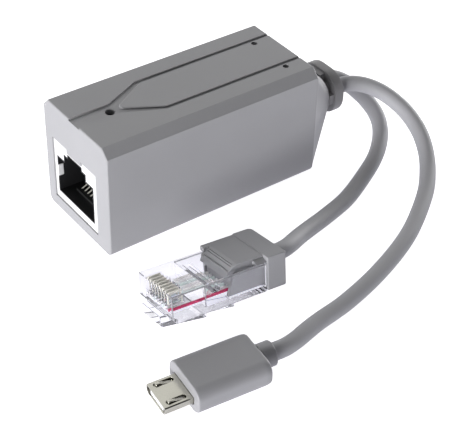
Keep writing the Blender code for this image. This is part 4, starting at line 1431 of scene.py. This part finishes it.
@dataclass
class NetworkPlug(Plug):
    """The clear plug with its blades and wires, and the grey boot. Its own frame has the nose at x = 0."""

    place: Point3 = (-0.0331, -0.0330, 0.0107)
    turn: Point3 = (-11.2, 3.6, -2.9)
    width: float = 0.0115
    height: float = 0.0057
    length: float = 0.0202
    nose_length: float = 0.0008
    nose_height: float = 0.0046
    wall: float = 0.0007
    painted_edge_line: float = 0.00019
    boss: Point2 = (0.0077, -0.0016)
    boss_radius: float = 0.00050
    boss_length: float = 0.00024
    bar: tuple[Point2, Point2] = ((0.0088, -0.0024), (0.0103, -0.0012))
    tray_start: float = 0.0072
    floor: float = 0.0009
    count: int = 8
    blade_pitch: float = 0.00102
    blade_thickness: float = 0.00036
    blade_height: float = 0.0024
    blade_length: float = 0.0028
    blade_from_nose: float = 0.0006
    blade_sunk: float = 0.0003
    blade_shoulder: float = 0.0006
    blade_corner: float = 0.0004
    tooth: float = 0.0003
    wire_room: float = 0.0009
    wire_diameter: float = 0.0006
    wire_drop: float = 0.0035
    wire_sag: float = 0.0002
    latch_width: float = 0.0063
    latch_root: float = 0.0024
    latch_forward: float = 0.0011
    latch_thickness: float = 0.0010
    latch_taper: float = 0.8
    latch_shoulder: float = 0.0085
    latch_finger: float = 0.0033
    latch_length: float = 0.0155
    latch_fall: float = 0.0022
    latch_corner: float = 0.0004
    latch_kink: float = 0.0002
    latch_trim: float = 0.02
    lip: float = 0.0001
    boot_width: float = 0.0117
    boot_rise: float = 0.0013
    boot_bottom: float = 0.0056
    boot_length: float = 0.0039
    boot_near_corner: float = 0.0005
    boot_far_corner: float = 0.0010
    boot_edge: float = 0.00022
    knee: float = 0.0127
    brow: float = 0.0139
    brow_drop: float = 0.00025
    crest: float = 0.0147
    block_near: float = 0.0043
    block_lap: float = 0.0006
    block_rounding: float = 0.00005
    far_wall_start: float = 0.0131
    far_wall_outer: float = 0.0056
    far_wall_lap: float = 0.0005
    rail: float = 0.0004
    near_wall_start: float = 0.0122
    near_wall_knee: float = 0.0136
    near_wall_low: float = -0.0004
    near_wall_high: float = 0.0009
    near_wall_lap: float = 0.0007
    shoulder_start: float = 0.0180
    shoulder_depth: float = 0.0003
    foot: float = 0.01235
    foot_level: float = -0.0013
    lines: tuple[Point2, ...] = ((0.01295, 0.00019), (0.01368, 0.00076), (0.01402, 0.00096))
    line_half: float = 0.00009
    line_near_end: float = 0.0005
    line_far_end: float = 0.0008
    colours: tuple[str, ...] = ("wire_red", "wire_white", "wire_green", "wire_ivory",
                                "wire_white", "wire_green", "wire_white", "wire_ivory")

    def build(self) -> list[str]:
        """Builds the plug.

        Returns:
            The names of its pieces.
        """
        names = [self.make_body(), self.make_boot()]
        for index in range(self.count):
            names.append(self.make_blade(index))
            names.append(self.make_wire(index))
        return names

    def row(self, index: int) -> float:
        """Place across the plug of one blade and its wire, counted from 0."""
        return (index - (self.count - 1) / 2) * self.blade_pitch

    def latch_outline(self) -> list[Point2]:
        """Side view of the latch.

        Returns:
            Its corners.
        """
        root = -self.nose_height
        low = root - self.latch_root
        tip = low - self.latch_fall
        thick = self.latch_thickness
        hinge = self.nose_length + FINE_GAP
        return [(-self.latch_forward, root - self.lip), (-self.latch_forward, low + self.latch_corner),
                (-self.latch_forward + self.latch_corner, low), (hinge, low - self.latch_kink),
                (self.latch_length, tip), (self.latch_length, tip + thick * self.latch_taper),
                (hinge + FINE_GAP, low + thick), (hinge, low + thick + OVERLAP), (hinge, root + OVERLAP),
                (0.0, root + OVERLAP), (0.0, root - self.lip)]

    def make_body(self) -> str:
        """Makes the clear moulding with its latch, slots, wire space, tray and the bar across it; its edge
        roundings carry painted shade lines, with paler painted highlight lines at the rear.

        Returns:
            Its name.
        """
        half = self.width / 2
        inner = half - self.wall
        looks = (self.finishes.clear, self.finishes.clear_edge_painted_shade, self.finishes.clear_rim_painted_highlight)
        body = block("clear_body", (0.0, -half, -self.height), (self.length, half, 0.0))
        cut(body,
            block("under_nose", (-PAST, -half - PAST, -self.height - PAST),
                  (self.nose_length, half + PAST, -self.nose_height)),
            block("tray", (self.tray_start, -inner, -self.height + self.floor),
                  (self.length + PAST, inner, PAST)))
        arm = outline_block("latch_arm", self.latch_outline(), -self.latch_width / 2, self.latch_width / 2,
                            Plane.SIDE)
        below = -self.height - GAP
        for side in (-1, 1):
            across = sorted((side * self.latch_finger / 2, side * self.latch_width))
            cut(arm, block("latch_side", (self.latch_shoulder, across[0], -self.latch_trim),
                           (self.latch_length + PAST, across[1], below)))
        (start, low), (end, high) = self.bar
        bar = block("bar", (start, -inner - GAP, low), (end, inner + GAP, high))
        # The roundings take slot 1, the grey finish that paints shade lines along the edges
        for item, line in ((body, self.painted_edge_line), (arm, self.painted_edge_line / 2), (bar, self.painted_edge_line / 2)):
            ease_edges(dress(item, *looks), line, 2, 50.0, finish=1)
        boss = rod("boss", (self.boss[0], -half, self.boss[1]), self.boss_radius, self.boss_length, "Y", 24)
        fuse(body, arm, bar, boss)
        room = self.wire_room / 2 + FINE_GAP
        span = self.count / 2 * self.blade_pitch + FINE_GAP
        tools = [block("wire_space", (self.blade_from_nose, -span, -self.wire_drop - room),
                       (self.tray_start + PAST, span, -self.wire_drop + room))]
        room = self.blade_thickness / 2 + FINE_GAP
        slot_end = self.blade_from_nose + self.blade_length + FINE_GAP
        slot_floor = -self.blade_sunk - self.blade_height - FINE_GAP
        for index in range(self.count):
            y = self.row(index)
            tools.append(block("blade_slot", (-PAST, y - room, slot_floor), (slot_end, y + room, PAST)))
        cut(body, *tools)
        # Roundings behind the far wall's start take slot 2, the paler finish that paints highlight lines
        for face in body.data.polygons:
            if face.material_index == 1 and face.center.x > self.far_wall_start:
                face.material_index = 2
        return mount(self.lay(smooth(body, 30.0)), looks, "clear_moulding", "plug_body").name

    def make_blade(self, index: int) -> str:
        """Makes one gold blade, with its two top corners rounded and the teeth that pierce its wire.

        Args:
            index: which blade it is, from 0.

        Returns:
            Its name.
        """
        y, top, corner = self.row(index), -self.blade_sunk, self.blade_corner
        start, end = self.blade_from_nose, self.blade_from_nose + self.blade_length
        low, shoulder = top - self.blade_height, top - self.blade_shoulder
        outline = arc((end - corner, top - corner), corner, 0.0, 90.0, 4)
        outline += arc((start + corner, top - corner), corner, 90.0, 180.0, 4)
        outline.append((start, shoulder))
        for x in (start + self.tooth, end - self.tooth):
            outline += [(x - self.tooth / 2, shoulder), (x - self.tooth / 4, low), (x + self.tooth / 4, low),
                        (x + self.tooth / 2, shoulder)]
        outline.append((end, shoulder))
        half = self.blade_thickness / 2
        blade = outline_block(f"blade_{index + 1}", outline, y - half, y + half, Plane.SIDE)
        smooth(self.lay(blade), 50.0)
        return mount(blade, self.finishes.gold, "gold_plating", f"plug_contact_{index + 1}").name

    def make_wire(self, index: int) -> str:
        """Makes one insulated wire end.

        Args:
            index: which wire it is, from 0.

        Returns:
            Its name.
        """
        y = self.row(index)
        level = -self.wire_drop - self.wire_sag
        ends = (self.blade_from_nose + FINE_GAP, self.near_wall_knee - GAP)
        item = wire(f"wire_end_{index + 1}", [(x, y, level) for x in ends], self.wire_diameter, 6)
        colour = self.colours[index]
        return mount(self.lay(item), self.finishes.wires[colour], colour, f"plug_wire_{index + 1}").name

    def make_boot(self) -> str:
        """Makes the boot: a collar behind the plug and a sloped block between two walls in the tray.

        Returns:
            Its name.
        """
        start = self.length + SNUG
        end = self.length + GAP + self.boot_length
        half, near, far = self.boot_width / 2, self.boot_near_corner, self.boot_far_corner
        plan = [(start, half), (start, -half), *arc((end - near, near - half), near, -90.0, 0.0, 8),
                *arc((end - far, half - far), far, 0.0, 90.0, 10)]
        collar = outline_block("boot", plan, -self.boot_bottom, self.boot_rise)
        ease_edges(collar, self.boot_edge, 3, 60.0)
        fuse(collar, self.make_block(start + self.block_lap), self.make_near_wall(start + self.near_wall_lap),
             self.make_far_wall(start + self.far_wall_lap))
        tip = self.frame().inverted() @ Vector(DATA_ROUTE[-1])
        cut(collar, socket(end, tip.y, tip.z))
        self.lay(smooth(collar, 20.0))
        return mount(collar, self.finishes.boot, "soft_grey_moulding", "plug_boot").name

    @property
    def tray_base(self) -> float:
        """Level that the boot rests on in the tray."""
        return -self.height + self.floor + GAP

    @property
    def tray_half(self) -> float:
        """Half the width that the boot has in the tray."""
        return self.width / 2 - self.wall - GAP

    def make_block(self, rear: float) -> bpy.types.Object:
        """Makes the sloped block, with three engraved lines across its front.

        Args:
            rear: how far it reaches into the collar.

        Returns:
            The block.
        """
        top = self.boot_rise - self.brow_drop / 2
        side = [(self.foot, self.foot_level), (self.near_wall_knee, 2 * self.foot_level),
                (self.near_wall_knee, self.tray_base), (rear, self.tray_base), (rear, top), (self.crest, top),
                (self.brow, top - self.brow_drop), (self.knee, 0.0)]
        item = outline_block("boot_block", side, -self.block_near, self.tray_half - FINE_GAP, Plane.SIDE)
        thin = self.line_half
        for x, z in self.lines:
            cut(item, block("line", (x - thin, -self.block_near + self.line_near_end, z - 3 * thin),
                            (x + thin, self.tray_half - self.line_far_end, z + PAST)))
        return ease_edges(item, self.block_rounding, 2, 12.0)

    def make_near_wall(self, rear: float) -> bpy.types.Object:
        """Makes the low wall on the near side, which rises to a leaning shoulder at the collar.

        Args:
            rear: how far it reaches into the collar.

        Returns:
            The wall.
        """
        side = [(self.near_wall_start, self.tray_base), (rear, self.tray_base), (rear, self.near_wall_low),
                (self.near_wall_knee, self.near_wall_low)]
        inner = -self.block_near + OVERLAP
        item = outline_block("near_wall", side, -self.tray_half, inner, Plane.SIDE)
        low = self.near_wall_low - self.shoulder_depth
        lean = [(inner, low), (inner, self.near_wall_high), (-self.far_wall_outer, GAP),
                (-self.tray_half, GAP), (-self.tray_half, low)]
        return fuse(item, outline_block("shoulder", lean, self.shoulder_start, rear + FINE_GAP, Plane.END))

    def make_far_wall(self, rear: float) -> bpy.types.Object:
        """Makes the wall on the far side, whose rail lies over the clear wall.

        Args:
            rear: how far it reaches into the collar.

        Returns:
            The wall.
        """
        top = self.boot_rise - self.brow_drop / 2
        inner = self.tray_half - self.rail
        section = [(self.tray_half, self.tray_base), (self.tray_half, GAP), (self.far_wall_outer, GAP),
                   (self.far_wall_outer, top), (inner, top), (inner, self.tray_base)]
        return outline_block("far_wall", section, self.far_wall_start, rear, Plane.END)


# Micro USB plug


@dataclass
class MicroUsbPlug(Plug):
    """The micro USB plug. Its own frame has the mouth at x = 0 and its axis at y = z = 0."""

    place: Point3 = (-0.04407, -0.04961, 0.0023)
    turn: Point3 = (0.0, 0.0, -6.3)
    width: float = 0.0069
    height: float = 0.0019
    sheet: float = 0.00025
    fold: float = 0.0003
    shell_rounding: float = 0.00007
    length: float = 0.0054
    buried: float = 0.0022
    lean: float = 0.0006
    slot_length: float = 0.0038
    slot_width: float = 0.0010
    slot_offset: float = 0.0023
    slot_from_mouth: float = 0.0008
    hook_width: float = 0.0007
    hook_rise: float = 0.00035
    hook_sheet: float = 0.0002
    hook_sink: float = 0.00005
    hook_bends: Point3 = (0.0003, 0.0009, 0.0018)
    hook_rounding: float = 0.00012
    tongue_height: float = 0.0011
    tongue_set_back: float = 0.0002
    tongue_rounding: float = 0.00008
    grip_width: float = 0.0108
    grip_height: float = 0.0055
    grip_lift: float = 0.00055
    grip_length: float = 0.0146
    grip_radius: float = 0.0022
    grip_rounding: float = 0.00018
    grip_front: tuple[Point2, ...] = ((0.0, 0.965), (0.0002, 0.99), (0.0005, 1.0))
    grip_rear: tuple[Point2, ...] = ((0.0014, 1.0), (0.0008, 0.985), (0.0003, 0.955), (0.0, 0.90))
    neck_radius: float = 0.0024
    neck_length: float = 0.0028
    neck_lap: float = 0.001

    def build(self) -> list[str]:
        """Builds the plug and gives the names of its pieces."""
        return [self.make_shell(), self.make_tongue(), *self.make_hooks(), self.make_grip()]

    def shell_outline(self, inset: float = 0.0) -> list[Point2]:
        """Section of the shell, with its lower corners cut off.

        Args:
            inset: how far it lies inside the shell's outside.

        Returns:
            Its corners.
        """
        half, rise = self.width / 2 - inset, self.height / 2 - inset
        lean = self.lean
        return [(half, rise), (-half, rise), (-half, -rise + lean), (-half + lean, -rise),
                (half - lean, -rise), (half, -rise + lean)]

    def make_shell(self) -> str:
        """Makes the folded shell with its two hook slots.

        Returns:
            Its name.
        """
        depth = self.length + self.buried
        shell = outline_block("metal_shell", self.shell_outline(), 0.0, depth, Plane.END)
        with editing(shell):
            pick(shell, Pick.EDGES, lambda point: abs(point.x - depth / 2) < TINY)
            bpy.ops.mesh.bevel(offset=self.fold, segments=4, affect="EDGES")
        hollow = outline_block("hollow", self.shell_outline(self.sheet), -PAST, depth - self.sheet, Plane.END)
        cut(shell, hollow, self.slot_cutter(-1), self.slot_cutter(1))
        ease_edges(shell, self.shell_rounding, 2, 45.0)
        self.lay(smooth(shell, 30.0))
        return mount(shell, self.finishes.nickel, "nickel_plating", "usb_shell").name

    def slot_cutter(self, side: int) -> bpy.types.Object:
        """Makes the cutter of a round-ended slot in the top of the shell.

        Args:
            side: -1 or 1, the side that the slot is on.

        Returns:
            The cutter.
        """
        half = self.slot_width / 2
        y = side * self.slot_offset
        near, far = self.slot_from_mouth + half, self.slot_from_mouth + self.slot_length - half
        outline = arc((near, y), half, 90.0, 270.0, 8) + arc((far, y), half, -90.0, 90.0, 8)
        return outline_block("slot", outline, self.height / 2 - 2 * self.sheet, self.height / 2 + PAST)

    def make_tongue(self) -> str:
        """Makes the insulator inside the shell, painted white over its black moulding as a painted highlight.

        Returns:
            Its name.
        """
        half = self.width / 2 - self.sheet - GAP - self.lean
        floor = -self.height / 2 + self.sheet + FINE_GAP
        item = block("insulator", (self.tongue_set_back, -half, floor),
                     (self.length + self.buried - 2 * self.sheet, half, floor + self.tongue_height),
                     self.tongue_rounding)
        smooth(self.lay(item))
        # White on the black insulator is a painted highlight for the bright strip in the mouth
        return mount(item, self.finishes.white, "black_moulding", "usb_insulator").name

    def make_hooks(self) -> list[str]:
        """Makes the two sprung hooks that rise through the slots.

        Returns:
            Their names.
        """
        names = []
        half = self.hook_width / 2
        top = self.height / 2
        inside = top - self.sheet - 2 * FINE_GAP
        tip = self.slot_from_mouth + FINE_GAP
        end = self.slot_from_mouth + self.slot_length
        rear = self.length + self.buried - 2 * self.sheet
        rise, fall, foot = (tip + bend for bend in self.hook_bends)
        outline = [(tip, inside), (rise, top + self.hook_rise), (fall, top + self.hook_rise),
                   (foot, top - self.hook_sink), (end, inside),
                   (rear, inside), (rear, inside - self.hook_sheet), (tip, inside - self.hook_sheet)]
        for name, side in (("left", 1), ("right", -1)):
            y = side * self.slot_offset
            item = outline_block(f"hook_{name}", outline, y - half, y + half, Plane.SIDE)
            ease_edges(item, self.hook_rounding, 3, 25.0)
            smooth(self.lay(item), 50.0)
            names.append(mount(item, self.finishes.nickel, "nickel_plating", f"usb_hook_{name}").name)
        return names

    def make_grip(self) -> str:
        """Makes the moulded grip with its neck, and the socket that takes the lead.

        Returns:
            Its name.
        """
        start, end = self.length, self.length + self.grip_length
        stations = [(start + on, share) for on, share in self.grip_front]
        stations += [(end - back, share) for back, share in self.grip_rear]
        grip = loft("usb_grip_moulding", [
            Section(x, self.grip_width - self.grip_height * (1.0 - share), self.grip_height * share,
                    self.grip_radius * share, self.grip_radius * share, self.grip_lift, steps=12)
            for x, share in stations])
        neck_end = end + self.neck_length
        neck_middle = neck_end - self.neck_length / 2 - self.neck_lap / 2
        neck = rod("neck", (neck_middle, 0.0, self.grip_lift), self.neck_radius,
                   self.neck_length + self.neck_lap, "X", 64)
        pocket = outline_block("pocket", self.shell_outline(-FINE_GAP), 0.0,
                               self.length + self.buried + FINE_GAP, Plane.END)
        fuse(grip, neck)
        cut(grip, pocket, socket(neck_end, 0.0, self.grip_lift))
        ease_edges(grip, self.grip_rounding, 3, 50.0)
        self.lay(smooth(grip, 40.0))
        return mount(grip, self.finishes.boot, "soft_grey_moulding", "usb_grip").name


# Inside


@dataclass
class Inside:
    """The board and what stands on it, which keep their solids and get their finishes."""

    finishes: Finishes
    nodes: tuple[tuple[str, str], ...] = (
        ("circuit_board", "board"), ("lan_transformer", "resin"),
        ("transformer_core_lower", "ferrite"), ("transformer_core_upper", "ferrite"),
        ("transformer_bobbin", "resin"), ("transformer_winding", "tape"),
        ("input_capacitor", "sleeve"), ("output_capacitor", "sleeve"), ("controller_chip", "resin"),
        ("bridge_rectifier", "resin"), ("indicator_lamp", "lamp"), ("base_cover", "housing"),
    )

    def build(self) -> None:
        """Dresses the solids that stay."""
        for node, finish in self.nodes:
            dress(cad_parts[node], getattr(self.finishes, finish))
            LOG.info("%s: dressed as %s", node, finish)


def main() -> None:
    """Builds the stage and the whole splitter."""
    logging.basicConfig(level=logging.INFO, format="%(name)s %(message)s")
    finishes = Finishes()
    Stage().build()
    Housing(finishes).build()
    Jack(finishes).build()
    relief = StrainRelief(finishes).build()
    plug = NetworkPlug(finishes).build()
    usb = MicroUsbPlug(finishes).build()
    Lead("data_lead", DATA_ROUTE).build(finishes, "plug", [*plug, relief.name])
    Lead("power_lead", POWER_ROUTE).build(finishes, "connector", usb)
    Inside(finishes).build()


if __name__ == "__main__":
    main()
